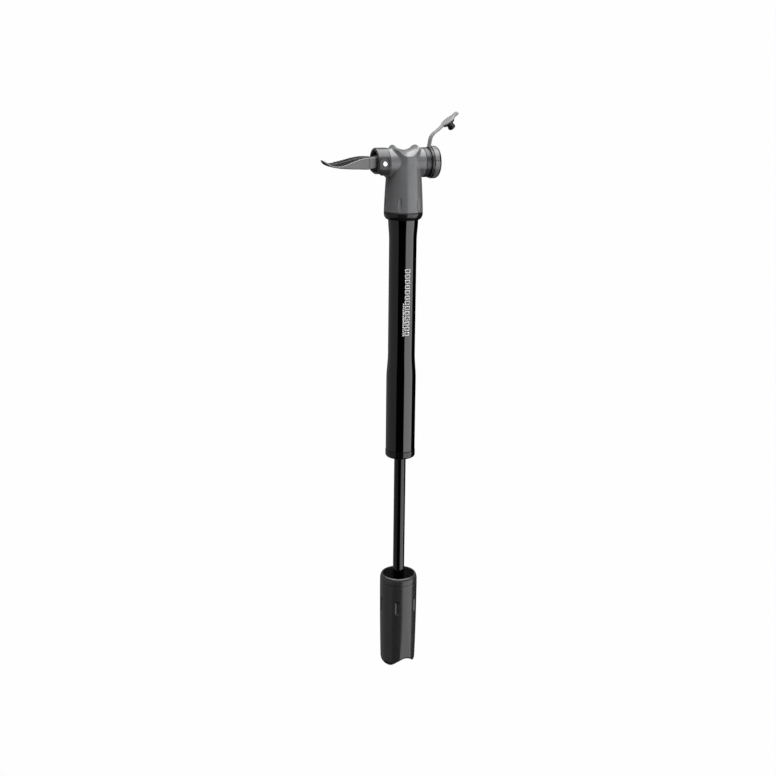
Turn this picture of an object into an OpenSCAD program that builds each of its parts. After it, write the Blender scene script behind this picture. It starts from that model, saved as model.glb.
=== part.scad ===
// Telescoping mini pump for bicycle tyres, drawn with its handle pulled right out.
// +Z runs up the barrel to the head, +X out of the valve mouth, and the thumb lever
// points to -X. The origin is the middle of the barrel's narrow straight stretch.
// All sizes are in millimetres.

/* [Barrel] */
// Radius of the bore that the piston runs in
bore_r = 7.75; // [7.5:0.05:7.9]
// Radius of the narrow stretch that a frame clip holds
narrow_r = 9.08; // [8.9:0.02:9.3]
// Radius of the wide lower stretch
wide_r = 10; // [9.8:0.05:10.1]
// Half the length of the narrow stretch
narrow_half = 38; // [34:1:40]
// Height of the seam between the tube and its end cap
seam_z = -106.2; // [-110:0.2:-100]

/* [Head] */
// Height of the axis through the valve mouth and the lever collar
axis_z = 88; // [87:0.5:89]
// Height of the head skirt's lower rim
rim_z = 56.7; // [56:0.1:57]
// Radius of the skirt at that rim
rim_r = 12.77; // [12.6:0.01:13]
// Radius of the head's column at the valve axis
column_r = 10.8; // [10.6:0.05:11]
// Height of the two horns above the valve axis
horn_rise = 12.3; // [11.8:0.1:12.6]
// Distance of each horn tip from the centre
horn_x = 7.6; // [7:0.1:8]

/* [Valve mouth] */
// Radius of the hole that the tyre valve goes into
mouth_r = 4.5; // [4.2:0.05:4.8]
// Outer face of the valve cap, measured from the barrel's axis
mouth_x = 22.4; // [22:0.1:22.6]
// Outer radius of the valve cap
cap_r = 10.4; // [10:0.1:10.5]
// Bore of the rubber gasket
gasket_r = 3; // [2.8:0.1:3.2]

/* [Lever] */
// Distance from the pin to the lever's tip
lever_len = 39.4; // [36:0.2:42]
// Half the width of the lever's blade
blade_half = 6; // [5.6:0.1:6.4]
// Half the width of the lever inside its collar
hub_half = 3.9; // [3.5:0.1:4]
// Half the width of the lever where it leaves the collar
neck_half = 5.3; // [4.6:0.1:5.4]
// Radius of the steel pin
pin_r = 1.5; // [1.2:0.1:1.6]

/* [Handle and rod] */
// Radius of the piston rod
rod_r = 4; // [3.8:0.1:4.2]
// Height of the handle's mouth with the pump pulled out
handle_top = -199.6; // [-204:0.2:-196]
// Length of the handle
handle_len = 70.2; // [68:0.2:72]
// Outer radius of the handle at its middle
grip_r = 13.05; // [12.9:0.05:13.3]
// Radius of the hollow that slides over the barrel
sleeve_r = 11; // [10.8:0.05:11.1]

/* [Hidden] */
$fn = 96;

eps = 0.02;             // overlap that lets a cutter pass a face
run_fit = 0.05;         // radial clearance of parts that slide or turn in each other

// barrel
flare_r = 9.84;         // radius where the barrel enters the head
ring_z = 51.6;          // underside of the dark ring at the head's foot
tube_top = 62;          // upper end of the tube, inside the head
taper_len = 18;         // length of the barrel's two tapers
cap_out = 0.2;          // how far the end cap stands proud of the tube
cap_len = 5.1;          // visible length of the end cap
spigot_len = 8.2;       // length of the cap's spigot inside the tube
bush_r = 6;             // outer radius of the rod's bush
bumper_t = 2;           // thickness of the rubber bumper
notch_turn = 107;       // direction of the end cap's spanner notches, in degrees
spigot_top = seam_z + spigot_len;
bumper_top = spigot_top + bumper_t;
cap_foot = seam_z - cap_len;

// head
stub_r = 9.4;           // radius of the two stubs on the valve axis
stub_x = 12.4;          // end faces of the stubs
cross_r = 5.6;          // bore along the valve axis
nose_r = 7.2;           // threaded nose that the valve cap screws on
nose_x = 21;            // end of the nose
saddle_major = 27.6;    // the saddle is cut by a ring with this centre-line radius
saddle_minor = 11.1;    // and this section radius
saddle_drop = 8.3;      // depth of the ring's axis below the valve axis
pocket_r = 7.9;         // pocket for the check valve's seat
seat_t = 2.5;           // thickness of the seat
chamber_r = 5;          // chamber of the check valve
chamber_top = 74;
spigot_r = 7.6;         // spigot that the lever collar fits over
dimple_n = 6;           // dimples around the skirt, and around the handle

// lever and plunger
pin_x = 16.3;           // distance of the pin from the barrel's axis
collar_r = 9.6;
collar_x = 20.5;        // open end of the collar
slot_half = neck_half + 0.3; // half the width of the collar's slot
cam_r = 4.5;            // the cam is a round boss
cam_e = 1.5;            // set off the pin by this much
cam_turn = 60;          // in this direction above +X
throw_gap = 0.05;       // gap between cam and plunger
plunger_x = -pin_x + cam_e * cos(cam_turn) + cam_r + throw_gap;
plunger_end = 8;        // front face of the plunger
gasket_x = plunger_end + throw_gap;

// dust strap, as points in the XZ plane above the valve axis
strap_t = 1.2;
strap_half = 2.4;       // half its width
strap_base = [17.2, 9.4];
strap_mid = [17.6, 12];
fold_a = [18, 14.32];   // first fold
fold_b = [23.15, 20.3]; // second fold
disc_at = [30, 25.9];   // centre of the dust cap's disc
tab_at = [36.5, 31.2];  // end of the finger tab
plug_turn = 51.5;       // the plug points this far below +X
disc_r = 5.4;
plug_base = 1.2;        // from the middle of the disc to the plug's flange
flange_r = 4;
nose_plug_r = 2.4;
plug_len = 4.8;

// piston, rod and handle
rest_gap = 0.05;        // gap between the piston and the bumper it rests on
piston_len = 9;
piston_foot = bumper_top + rest_gap;
neck_r = 2.95;          // neck of the rod inside the piston
groove_r = 5.6;         // bottom of the piston's seal groove
seal_z = [3, 5.4];      // span of that groove above the piston's foot
washer_t = 0.8;
floor_z = -255.6;       // bottom of the handle's hollow
handle_foot = handle_top - handle_len;
handle_turn = 7;         // how far the handle is spun round on its rod
rod_sink = 1.6;         // depth of the rod's seat in that floor
tail_r = 12.2;          // radius of the handle near its lower end
notch_depth = 6.6;      // depth of the notch in the handle's lower end
notch_half = 8.5;       // half its width
notch_r = (notch_half * notch_half + notch_depth * notch_depth) / (2 * notch_depth);
screw_r = 2;

// ---- helpers ----

// A solid of revolution about the valve axis, drawn as [radius, x] points.
module lathe_x() translate([0, 0, axis_z]) rotate([0, 90, 0]) rotate_extrude() children();

// A round bar along the valve axis from x0 to x1.
module bar_x(r, x0, x1) translate([x0, 0, axis_z]) rotate([0, 90, 0]) cylinder(r = r, h = x1 - x0);

// A ring along the valve axis.
module ring_x(inner, outer, x0, x1) lathe_x() translate([inner, x0]) square([outer - inner, x1 - x0]);

// A ring around the barrel's axis.
module ring_z(inner, outer, z0, z1) rotate_extrude() translate([inner, z0]) square([outer - inner, z1 - z0]);

// A bar across the head at the lever's pin.
module bar_y(r, half, x = -pin_x, z = 0)
    translate([x, half, axis_z + z]) rotate([90, 0, 0]) cylinder(r = r, h = 2 * half);

// A flat shape drawn in the XZ plane, above the valve axis, with this half width in Y.
module slab(half) translate([0, half, axis_z]) rotate([90, 0, 0]) linear_extrude(2 * half) children();

// A band of even thickness along a line of points.
module band(points, t) {
    for (i = [1:len(points) - 1]) {
        run = points[i] - points[i - 1];
        translate(points[i - 1]) rotate(atan2(run[1], run[0])) translate([0, -t / 2]) square([norm(run), t]);
    }
    if (len(points) > 2) for (i = [1:len(points) - 2]) translate(points[i]) circle(d = t, $fn = 32);
}

// Points of a smooth S-shaped taper from radius a at z0 to radius b at z1.
function taper(a, b, z0, z1, n = 8) =
    [for (i = [0:n]) let (s = i / n, k = (1 - cos(180 * s)) / 2) [a + (b - a) * k, z0 + (z1 - z0) * s]];

// Points of an arc about c, from angle a0 to a1.
function arc(c, r, a0, a1, n = 8) = [for (i = [0:n]) let (a = a0 + (a1 - a0) * i / n) c + r * [cos(a), sin(a)]];

// Long dimples with round ends around the axis, cut to this depth.
module dimples(surface_r, mid_z, width, height, depth)
    for (i = [0:dimple_n - 1]) rotate([0, 0, 60 * i]) translate([surface_r - depth, 0, mid_z])
        rotate([90, 0, 90]) linear_extrude(depth * 3) {
            square([width, height - width], center = true);
            for (s = [-1, 1]) translate([0, s * (height - width) / 2]) circle(d = width, $fn = 24);
        }

// ---- barrel ----

// Anodised tube: flared into the head, narrow at the frame clip and wide at the foot.
module barrel_tube() color([0.03, 0.03, 0.03]) rotate_extrude() polygon(concat(
    [[bore_r, seam_z], [wide_r, seam_z]],
    taper(wide_r, narrow_r, -narrow_half - taper_len, -narrow_half),
    taper(narrow_r, flare_r, narrow_half, ring_z),
    [[flare_r, tube_top], [bore_r, tube_top]]
));

// Screwed cap at the barrel's foot, with a spigot inside the tube and two spanner notches.
module end_cap() color([0.04, 0.04, 0.04]) {
    edge = 1.5;
    out_r = wide_r + cap_out;
    lip_r = rod_r + 1;
    wiper_z = cap_foot + 1;
    difference() {
        rotate_extrude() polygon(concat(
            [[lip_r, cap_foot]],
            arc([out_r - edge, cap_foot + edge], edge, -90, 0),
            [[out_r, seam_z], [bore_r, seam_z], [bore_r, spigot_top], [bush_r, spigot_top],
             [bush_r, wiper_z], [lip_r, wiper_z]]
        ));
        for (turn = [notch_turn, notch_turn + 180]) rotate([0, 0, turn])
            translate([out_r - 1.1, -1.5, cap_foot - eps]) cube([2, 3, 3.2]);
    }
}

// Plastic bush that guides the rod.
module shaft_bush() color([0.85, 0.83, 0.78]) ring_z(rod_r + run_fit, bush_r, cap_foot + 3.3, spigot_top);

// Lipped rubber ring that wipes the rod.
module wiper_seal() color([0.08, 0.08, 0.08]) translate([0, 0, cap_foot + 1]) rotate_extrude() polygon([
    [rod_r + run_fit, 0], [bush_r, 0], [bush_r, 2.3], [rod_r + 0.7, 2.3], [rod_r + 0.7, 1.2], [rod_r + run_fit, 0.4]
]);

// Rubber washer that the piston stops on at the end of its stroke.
module stop_bumper() color([0.1, 0.1, 0.1]) ring_z(rod_r + 0.6, bore_r - 0.15, spigot_top, bumper_top);

// ---- head ----

// Cutter for the thumb saddle: the top of a fat ring that stands on edge around the head.
module saddle_cut() intersection() {
    translate([0, 0, axis_z - saddle_drop]) rotate([0, 90, 0])
        rotate_extrude($fn = 128) translate([saddle_major, 0]) circle(r = saddle_minor);
    translate([-15, -15, axis_z]) cube(30);
}

// Slot through which the lever folds down past the collar.
module lever_sweep() translate([-collar_x - 1, -slot_half, axis_z - collar_r - 1])
    cube([collar_x + 1 - stub_x, 2 * slot_half, collar_r + 1]);

// Outside of the head before its bores are cut.
module head_form() {
    slope = 46;
    difference() {
        union() {
            difference() {
                rotate_extrude() polygon([
                    [0, rim_z], [rim_r, rim_z], [rim_r - 0.47, rim_z + 9.8], [rim_r - 1.14, rim_z + 21.3],
                    [column_r, axis_z], [column_r - 0.3, axis_z + horn_rise], [0, axis_z + horn_rise]
                ]);
                for (s = [0, 180]) rotate([0, 0, s]) translate([horn_x + 0.3, -15, axis_z + horn_rise])
                    rotate([0, slope, 0]) cube([20, 30, 12]);
                dimples(rim_r - 0.25, rim_z + 5.8, 2.7, 8.8, 0.55);
            }
            bar_x(stub_r, -stub_x, 0);
            bar_x(stub_r - 0.1, 0, stub_x);
        }
        saddle_cut();
    }
    bar_x(nose_r, stub_x - 1, nose_x);
}

// Moulded head: skirt, column, saddle and the two stubs.
module head_body() color([0.42, 0.43, 0.44]) difference() {
    union() {
        head_form();
        difference() {
            ring_x(spigot_r - 0.6, spigot_r, -stub_x - 1.5, -stub_x + 1);
            lever_sweep();
        }
    }
    bar_x(cross_r, -stub_x - 2, nose_x + 1);
    bar_x(spigot_r - 0.6, -stub_x - 2, -stub_x + 2);
    translate([0, 0, rim_z - 1]) cylinder(r = flare_r, h = tube_top + 1.4 - rim_z + 1);
    translate([0, 0, tube_top]) cylinder(r = pocket_r, h = seat_t);
    translate([0, 0, tube_top]) cylinder(r = chamber_r, h = chamber_top - tube_top);
    cylinder(r = 2, h = axis_z);
}

// Rounded ring that closes the head's foot around the barrel.
module head_base_ring() color([0.2, 0.2, 0.2]) rotate_extrude() polygon(concat(
    [[flare_r, ring_z]],
    arc([rim_r - 2.6, rim_z - 2.2], 2.6, -70, 0, 10),
    [[rim_r, rim_z], [flare_r, rim_z]]
));

// O-ring between the tube's end and the head.
module barrel_seal() color([0.1, 0.1, 0.1])
    translate([0, 0, tube_top + 0.7]) rotate_extrude() translate([9.05, 0]) circle(r = 0.7, $fn = 32);

// Seat of the check valve.
module check_seat() color([0.85, 0.7, 0.35]) ring_z(1.6, pocket_r, tube_top, tube_top + seat_t);

// Sprung disc of the check valve, with a stem for its spring.
module check_poppet() color([0.8, 0.65, 0.3]) translate([0, 0, tube_top + seat_t + rest_gap]) {
    cylinder(r = 3.2, h = 1.4);
    cylinder(r = 1.1, h = 4.6);
}

// Wire spring above the check valve, from the disc to the top of its chamber.
module check_spring() color([0.75, 0.75, 0.78]) {
    turns = 5;
    steps = 14;
    sides = 6;
    wire_r = 0.22;
    coil_r = 1.9;
    low = tube_top + seat_t + rest_gap + 1.4 + wire_r + 0.05;
    high = chamber_top - wire_r - 0.05;
    rings = turns * steps;
    points = [for (i = [0:rings], k = [0:sides - 1])
        let (a = 360 * i / steps, b = 360 * k / sides, r = coil_r + wire_r * cos(b))
        [r * cos(a), r * sin(a), low + (high - low) * i / rings + wire_r * sin(b)]];
    skin = [for (i = [0:rings - 1], k = [0:sides - 1])
        let (n = (k + 1) % sides)
        [i * sides + k, (i + 1) * sides + k, (i + 1) * sides + n, i * sides + n]];
    first = [for (k = [0:sides - 1]) k];
    last = [for (k = [0:sides - 1]) rings * sides + sides - 1 - k];
    polyhedron(points, concat(skin, [first], [last]));
}

// ---- lever side ----

// Hollow collar around the lever's hub, slotted below so that the lever can fold.
module lever_collar() color([0.22, 0.22, 0.22]) difference() {
    ring_x(spigot_r, collar_r, -collar_x, -stub_x);
    lever_sweep();
    translate([-collar_x - 5.1, -15, axis_z]) rotate([0, 45, 0]) translate([-5, 0, -20]) cube([40, 30, 20]);
    bar_y(pin_r, 15);
    for (s = [-1, 1]) translate([-pin_x, s * 10.5, axis_z]) rotate([90, 0, 0]) cylinder(r = 3.15, h = 3, center = true);
}

// Steel pin that the lever turns on.
module lever_pin() color([0.85, 0.85, 0.87]) bar_y(pin_r, collar_r - 0.25);

// Side view of the lever's plates: level foot, scooped upper edge and curled tip.
module lever_side() mirror([1, 0]) translate([pin_x, 0]) polygon([
    [0, -3.1], [5.6, -3.1], [8, -3.55], [24, -3.2], [30, -2.7], [34.5, -1.7], [37.4, -0.1], [lever_len, 1.9],
    [lever_len - 0.6, 2.7], [36.8, 1], [33, -0.9], [28, -1.2], [24, -0.2], [19, 1.7], [13, 3.5], [6, 3.9], [0, 3.9]
]);

// Plan view of the lever: narrow on its pin, wider in the collar's slot and broad at the thumb.
module lever_plan(inset = 0) {
    tip_r = 4;
    half = [
        [-0.1, hub_half], [4.2, hub_half], [4.8, neck_half], [8.8, neck_half], [10.2, blade_half],
        [lever_len - tip_r, blade_half - 0.8]
    ];
    translate([-pin_x, 0]) {
        polygon([
            for (p = half) [-p[0], p[1] - inset],
            for (k = [len(half) - 1:-1:0]) [-half[k][0], inset - half[k][1]]
        ]);
        translate([-lever_len + tip_r, 0]) intersection() {
            square([2 * tip_r - 2 * inset, 2 * (blade_half - 0.8 - inset)], center = true);
            circle(r = blade_half - inset);
        }
    }
}

// The space that the thumb pad fills inside the lever.
module pad_space(lift) difference() {
    translate([0, 0, axis_z - 20]) linear_extrude(40) difference() {
        lever_plan(1);
        translate([-pin_x - 6.5, -20]) square([20, 40]);
    }
    slab(20) mirror([1, 0]) translate([pin_x, 0]) polygon([
        [0, -9], [45, -9], [45, -1], [37, -0.4 + lift], [33, -1.5 + lift], [28, -2.2 + lift], [0, -2.4 + lift]
    ]);
}

// Thumb lever: cam boss on the pin and a hollow blade.
module thumb_lever() color([0.5, 0.5, 0.51]) difference() {
    union() {
        bar_y(cam_r, hub_half, -pin_x + cam_e * cos(cam_turn), cam_e * sin(cam_turn));
        intersection() {
            slab(10) lever_side();
            translate([0, 0, axis_z - 20]) linear_extrude(40) lever_plan();
        }
    }
    bar_y(pin_r + 0.03, 15);
    pad_space(0);
}

// Dark thumb pad that fills the blade, with a hollowed upper face.
module lever_pad() color([0.07, 0.07, 0.07]) intersection() {
    pad_space(0);
    slab(10) mirror([1, 0]) translate([pin_x, 0]) polygon([
        [6.5, -3], [36.5, -3], [36.5, 0.55], [33, 0.45], [28.5, 1.1], [23.5, 2.2], [18, 3.5], [12, 4.35], [6.5, 4.4]
    ]);
}

// Plunger that the cam pushes against the gasket, with a waist that lets the air through.
module cam_plunger() color([0.8, 0.8, 0.76]) difference() {
    lathe_x() polygon([
        [0, plunger_x], [cross_r - run_fit, plunger_x], [cross_r - run_fit, -7.6], [4.5, -7.6], [4.5, -5.8],
        [cross_r - run_fit, -5.8], [cross_r - run_fit, -3.4], [3.4, -2.6], [3.4, 2.6], [cross_r - run_fit, 3.4],
        [cross_r - run_fit, plunger_end], [2.2, plunger_end], [2.2, 5], [0, 5]
    ]);
    for (turn = [0:90:270]) translate([0, 0, axis_z]) rotate([turn, 0, 0]) translate([0, 0, 3.9])
        rotate([0, 90, 0]) cylinder(r = 0.7, h = plunger_end + 1, $fn = 24);
}

// O-ring at the back of the plunger.
module plunger_seal() color([0.1, 0.1, 0.1]) ring_x(4.5, cross_r - run_fit, -7.5, -5.9);

// Pin that opens the tyre valve's core.
module core_pin() color([0.85, 0.7, 0.35]) {
    bar_x(2.2, 5, 6.6);
    bar_x(1, 6.6, 13.5);
}

// Rubber gasket that is squeezed around the tyre valve.
module valve_gasket() color([0.12, 0.12, 0.12]) ring_x(gasket_r, cross_r, gasket_x, nose_x);

// ---- valve side ----

// Dark ring next to the head.
module neck_ring() color([0.3, 0.3, 0.3]) ring_x(nose_r, stub_r + 0.1, stub_x, 15.1);

// Black rubber ring in the groove behind the strap.
module groove_seal() color([0.05, 0.05, 0.05]) ring_x(nose_r, 9, 15.1, 16.4);

// Ring of the dust strap with the upright root of the strap.
module strap_ring() color([0.45, 0.45, 0.46]) {
    ring_x(nose_r, 9.9, 16.4, 17.95);
    difference() {
        slab(strap_half) band([strap_base, strap_mid, fold_a], strap_t);
        run = fold_a - strap_mid;
        slab(10) translate(fold_a) rotate(atan2(run[1], run[0])) translate([-0.9, -3]) square([4, 6]);
        bar_x(nose_r + 0.5, 10, nose_x);
    }
}

// Screwed valve cap with a chamfered mouth and four shallow finger lines.
module valve_cap() color([0.62, 0.62, 0.63]) difference() {
    lathe_x() polygon([
        [nose_r + run_fit, 18.05], [cap_r - 0.2, 18.05], [cap_r, 18.3], [cap_r, 21.5], [9.6, mouth_x],
        [mouth_r, mouth_x], [mouth_r, nose_x + run_fit], [nose_r + run_fit, nose_x + run_fit]
    ]);
    for (turn = [20:90:290]) translate([0, 0, axis_z]) rotate([turn, 0, 0])
        translate([17, cap_r - 0.3, 0]) cube([4.6, 1, 0.5]);
}

// Middle length of the dust strap, between its two folds.
module strap_link() color([0.6, 0.6, 0.61]) {
    points = [fold_a, [18.6, 16.1], [20.3, 18.2], fold_b];
    run = points[3] - points[2];
    difference() {
        slab(strap_half) {
            band(points, strap_t);
            translate(fold_a) circle(d = strap_t, $fn = 32);
        }
        slab(10) translate(fold_b) rotate(atan2(run[1], run[0])) translate([-0.9, -3]) square([4, 6]);
    }
}

// Disc and finger tab at the strap's end.
module dust_cap() color([0.66, 0.66, 0.67]) {
    slab(strap_half) {
        band([fold_b, disc_at], strap_t);
        translate(fold_b) circle(d = strap_t, $fn = 32);
    }
    slab(strap_half + 0.2) band([disc_at, tab_at], 1.7);
    on_plug_axis() translate([0, 0, -0.6]) cylinder(r = disc_r, h = 1.5);
    on_plug_axis() cylinder(r = flange_r - 0.3, h = plug_base);
}

// Places its child on the plug's axis, with +Z pointing the way the plug does.
module on_plug_axis() translate([disc_at[0], 0, axis_z + disc_at[1]]) rotate([0, 90 + plug_turn, 0]) children();

// Rubber plug that keeps dirt out of the valve mouth.
module dust_plug() color([0.08, 0.08, 0.08]) on_plug_axis() translate([0, 0, plug_base]) rotate_extrude() polygon(
    concat([[0, 0], [flange_r, 0], [flange_r, 0.7], [nose_plug_r, 0.9]],
           arc([nose_plug_r - 0.9, plug_len - 0.9], 0.9, 0, 90, 6), [[0, plug_len]])
);

// ---- piston, rod and handle ----

// Piston with a groove for its seal.
module piston_head() color([0.2, 0.2, 0.22]) translate([0, 0, piston_foot]) rotate_extrude() polygon([
    [neck_r + run_fit, 0], [bore_r - 0.07, 0], [bore_r - 0.07, seal_z[0]], [groove_r, seal_z[0]],
    [groove_r, seal_z[1]], [bore_r - 0.07, seal_z[1]], [bore_r - 0.07, piston_len], [neck_r + run_fit, piston_len]
]);

// Rubber seal of the piston.
module piston_seal() color([0.1, 0.1, 0.1])
    ring_z(groove_r, bore_r - run_fit, piston_foot + seal_z[0], piston_foot + seal_z[1]);

// Washer on top of the piston.
module rod_washer() color([0.8, 0.8, 0.82]) translate([0, 0, piston_foot + piston_len + rest_gap])
    ring_z(neck_r, 5.5, 0, washer_t);

// Nut that holds the piston on the rod.
module rod_nut() color([0.8, 0.8, 0.82]) translate([0, 0, piston_foot + piston_len + rest_gap + washer_t])
    difference() {
        cylinder(r = 4.9, h = 3.2, $fn = 6);
        translate([0, 0, -1]) cylinder(r = neck_r, h = 6);
    }

// Rod with a shoulder and a neck for the piston, and a tapped hole in its foot.
module piston_rod() color([0.04, 0.04, 0.04]) {
    shoulder = piston_foot - rest_gap;
    foot = floor_z - rod_sink;
    difference() {
        union() {
            translate([0, 0, foot]) cylinder(r = rod_r, h = shoulder - foot);
            translate([0, 0, shoulder - 1]) cylinder(r = neck_r, h = piston_len + washer_t + 5);
        }
        translate([0, 0, foot - 1]) cylinder(r = screw_r, h = 11);
    }
}

// Handle: a sleeve that slides over the barrel, with flattened flanks and a notched foot.
module handle_shell() color([0.16, 0.16, 0.17]) rotate([0, 0, handle_turn]) {
    roll = [1.7, 4.6];
    foot_edge = 3;
    flat_tilt = 2.4;
    mouth = grip_r + 0.1;
    difference() {
        rotate_extrude() polygon(concat(
            [[0, handle_foot]],
            arc([tail_r - foot_edge, handle_foot + foot_edge], foot_edge, -90, 0),
            [[grip_r - 0.15, handle_top - 42], [grip_r, handle_top - 28]],
            [for (a = [0:15:90]) [mouth - roll[0] * (1 - cos(a)), handle_top - roll[1] * (1 - sin(a))]],
            [[sleeve_r + 0.4, handle_top], [sleeve_r, handle_top - 0.6], [sleeve_r, floor_z], [0, floor_z]]
        ));
        translate([0, 0, floor_z - rod_sink]) cylinder(r = rod_r, h = rod_sink + 1);
        translate([0, 0, handle_foot]) cylinder(r = screw_r + 0.2, h = handle_len / 2);
        translate([0, 0, handle_foot - 1]) cylinder(r = 3.9, h = 1 + notch_depth + 1.8);
        translate([0, 20, handle_foot + notch_depth - notch_r]) rotate([90, 0, 0]) cylinder(r = notch_r, h = 40);
        for (s = [0, 180]) rotate([0, 0, s]) translate([-20, grip_r, handle_top - 33])
            rotate([flat_tilt, 0, 0]) translate([0, 0, -60]) cube([40, 10, 60]);
        dimples(grip_r - 0.1, handle_top - 22.3, 3, 10.5, 0.6);
    }
}

// Washer on the floor of the handle's hollow.
module floor_washer() color([0.7, 0.7, 0.72]) ring_z(rod_r, 7, floor_z, floor_z + washer_t);

// Screw that holds the handle on the rod.
module rod_screw() color([0.75, 0.75, 0.78]) {
    head_top = handle_foot + notch_depth + 1.8;
    difference() {
        union() {
            translate([0, 0, head_top - 2]) cylinder(r = 3.6, h = 2);
            translate([0, 0, head_top - 1]) cylinder(r = screw_r, h = 9.5);
        }
        translate([0, 0, head_top - 3]) cylinder(r = 1.7, h = 2.2, $fn = 6);
    }
}

// ---- one solid per node ----

barrel_tube();
end_cap();
shaft_bush();
wiper_seal();
stop_bumper();
head_body();
head_base_ring();
barrel_seal();
check_seat();
check_poppet();
check_spring();
lever_collar();
lever_pin();
thumb_lever();
lever_pad();
cam_plunger();
plunger_seal();
core_pin();
valve_gasket();
neck_ring();
groove_seal();
strap_ring();
valve_cap();
strap_link();
dust_cap();
dust_plug();
piston_head();
piston_seal();
rod_washer();
rod_nut();
piston_rod();
handle_shell();
floor_washer();
rod_screw();
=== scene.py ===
"""Looks of a telescoping bicycle mini pump: its finishes, detailed meshes, studio and camera.

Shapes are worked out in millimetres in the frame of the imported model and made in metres.
"""

from __future__ import annotations

import logging
import math
from collections.abc import Callable, Iterable, Sequence
from dataclasses import dataclass
from enum import Enum

import bmesh
import bpy
import numpy as np
from mathutils import Matrix, Vector

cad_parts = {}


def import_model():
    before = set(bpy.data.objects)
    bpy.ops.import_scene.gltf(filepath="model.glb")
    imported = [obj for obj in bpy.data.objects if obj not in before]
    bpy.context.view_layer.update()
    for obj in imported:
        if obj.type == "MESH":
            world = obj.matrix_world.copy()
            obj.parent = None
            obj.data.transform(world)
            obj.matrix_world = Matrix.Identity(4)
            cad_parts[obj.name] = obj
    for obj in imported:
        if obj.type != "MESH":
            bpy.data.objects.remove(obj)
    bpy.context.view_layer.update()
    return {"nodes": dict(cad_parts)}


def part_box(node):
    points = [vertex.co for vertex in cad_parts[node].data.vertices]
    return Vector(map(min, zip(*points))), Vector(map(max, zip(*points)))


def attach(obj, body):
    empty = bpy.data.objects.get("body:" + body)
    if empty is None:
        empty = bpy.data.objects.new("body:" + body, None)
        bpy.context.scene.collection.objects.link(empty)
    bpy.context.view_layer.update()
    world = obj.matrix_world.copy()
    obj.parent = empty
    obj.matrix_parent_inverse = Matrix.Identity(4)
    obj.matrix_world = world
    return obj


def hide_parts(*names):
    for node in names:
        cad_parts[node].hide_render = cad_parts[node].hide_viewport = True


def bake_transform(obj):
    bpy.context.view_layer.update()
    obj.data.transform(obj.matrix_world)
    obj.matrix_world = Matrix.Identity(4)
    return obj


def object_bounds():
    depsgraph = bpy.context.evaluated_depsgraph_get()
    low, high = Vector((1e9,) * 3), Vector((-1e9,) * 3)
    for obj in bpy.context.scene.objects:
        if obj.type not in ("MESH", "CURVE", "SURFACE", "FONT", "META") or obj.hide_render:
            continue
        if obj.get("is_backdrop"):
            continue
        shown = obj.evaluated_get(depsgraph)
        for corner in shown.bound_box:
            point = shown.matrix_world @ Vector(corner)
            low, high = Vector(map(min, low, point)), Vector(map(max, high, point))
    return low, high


LOG = logging.getLogger("mini_pump")
MM = 0.001
TURN = 2 * math.pi
CLOUD_MM = 9  # size of the slow wander of every finish's colour
WHITE = (0.99, 0.99, 0.99, 1)

Array = np.ndarray
Field = Callable[[Array, Array, Array], Array]
Pair = tuple[float, float]
Profile = list[Pair]
Line = Sequence[Pair]


# ---------------------------------------------------------------- finishes


class Grain(Enum):
    """How the fine surface pattern of a finish runs."""

    MOULDED = (1.0, 1.0, 1.0)
    DRAWN = (1.0, 1.0, 0.015)
    RINGED = (0.04, 0.04, 1.0)


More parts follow.
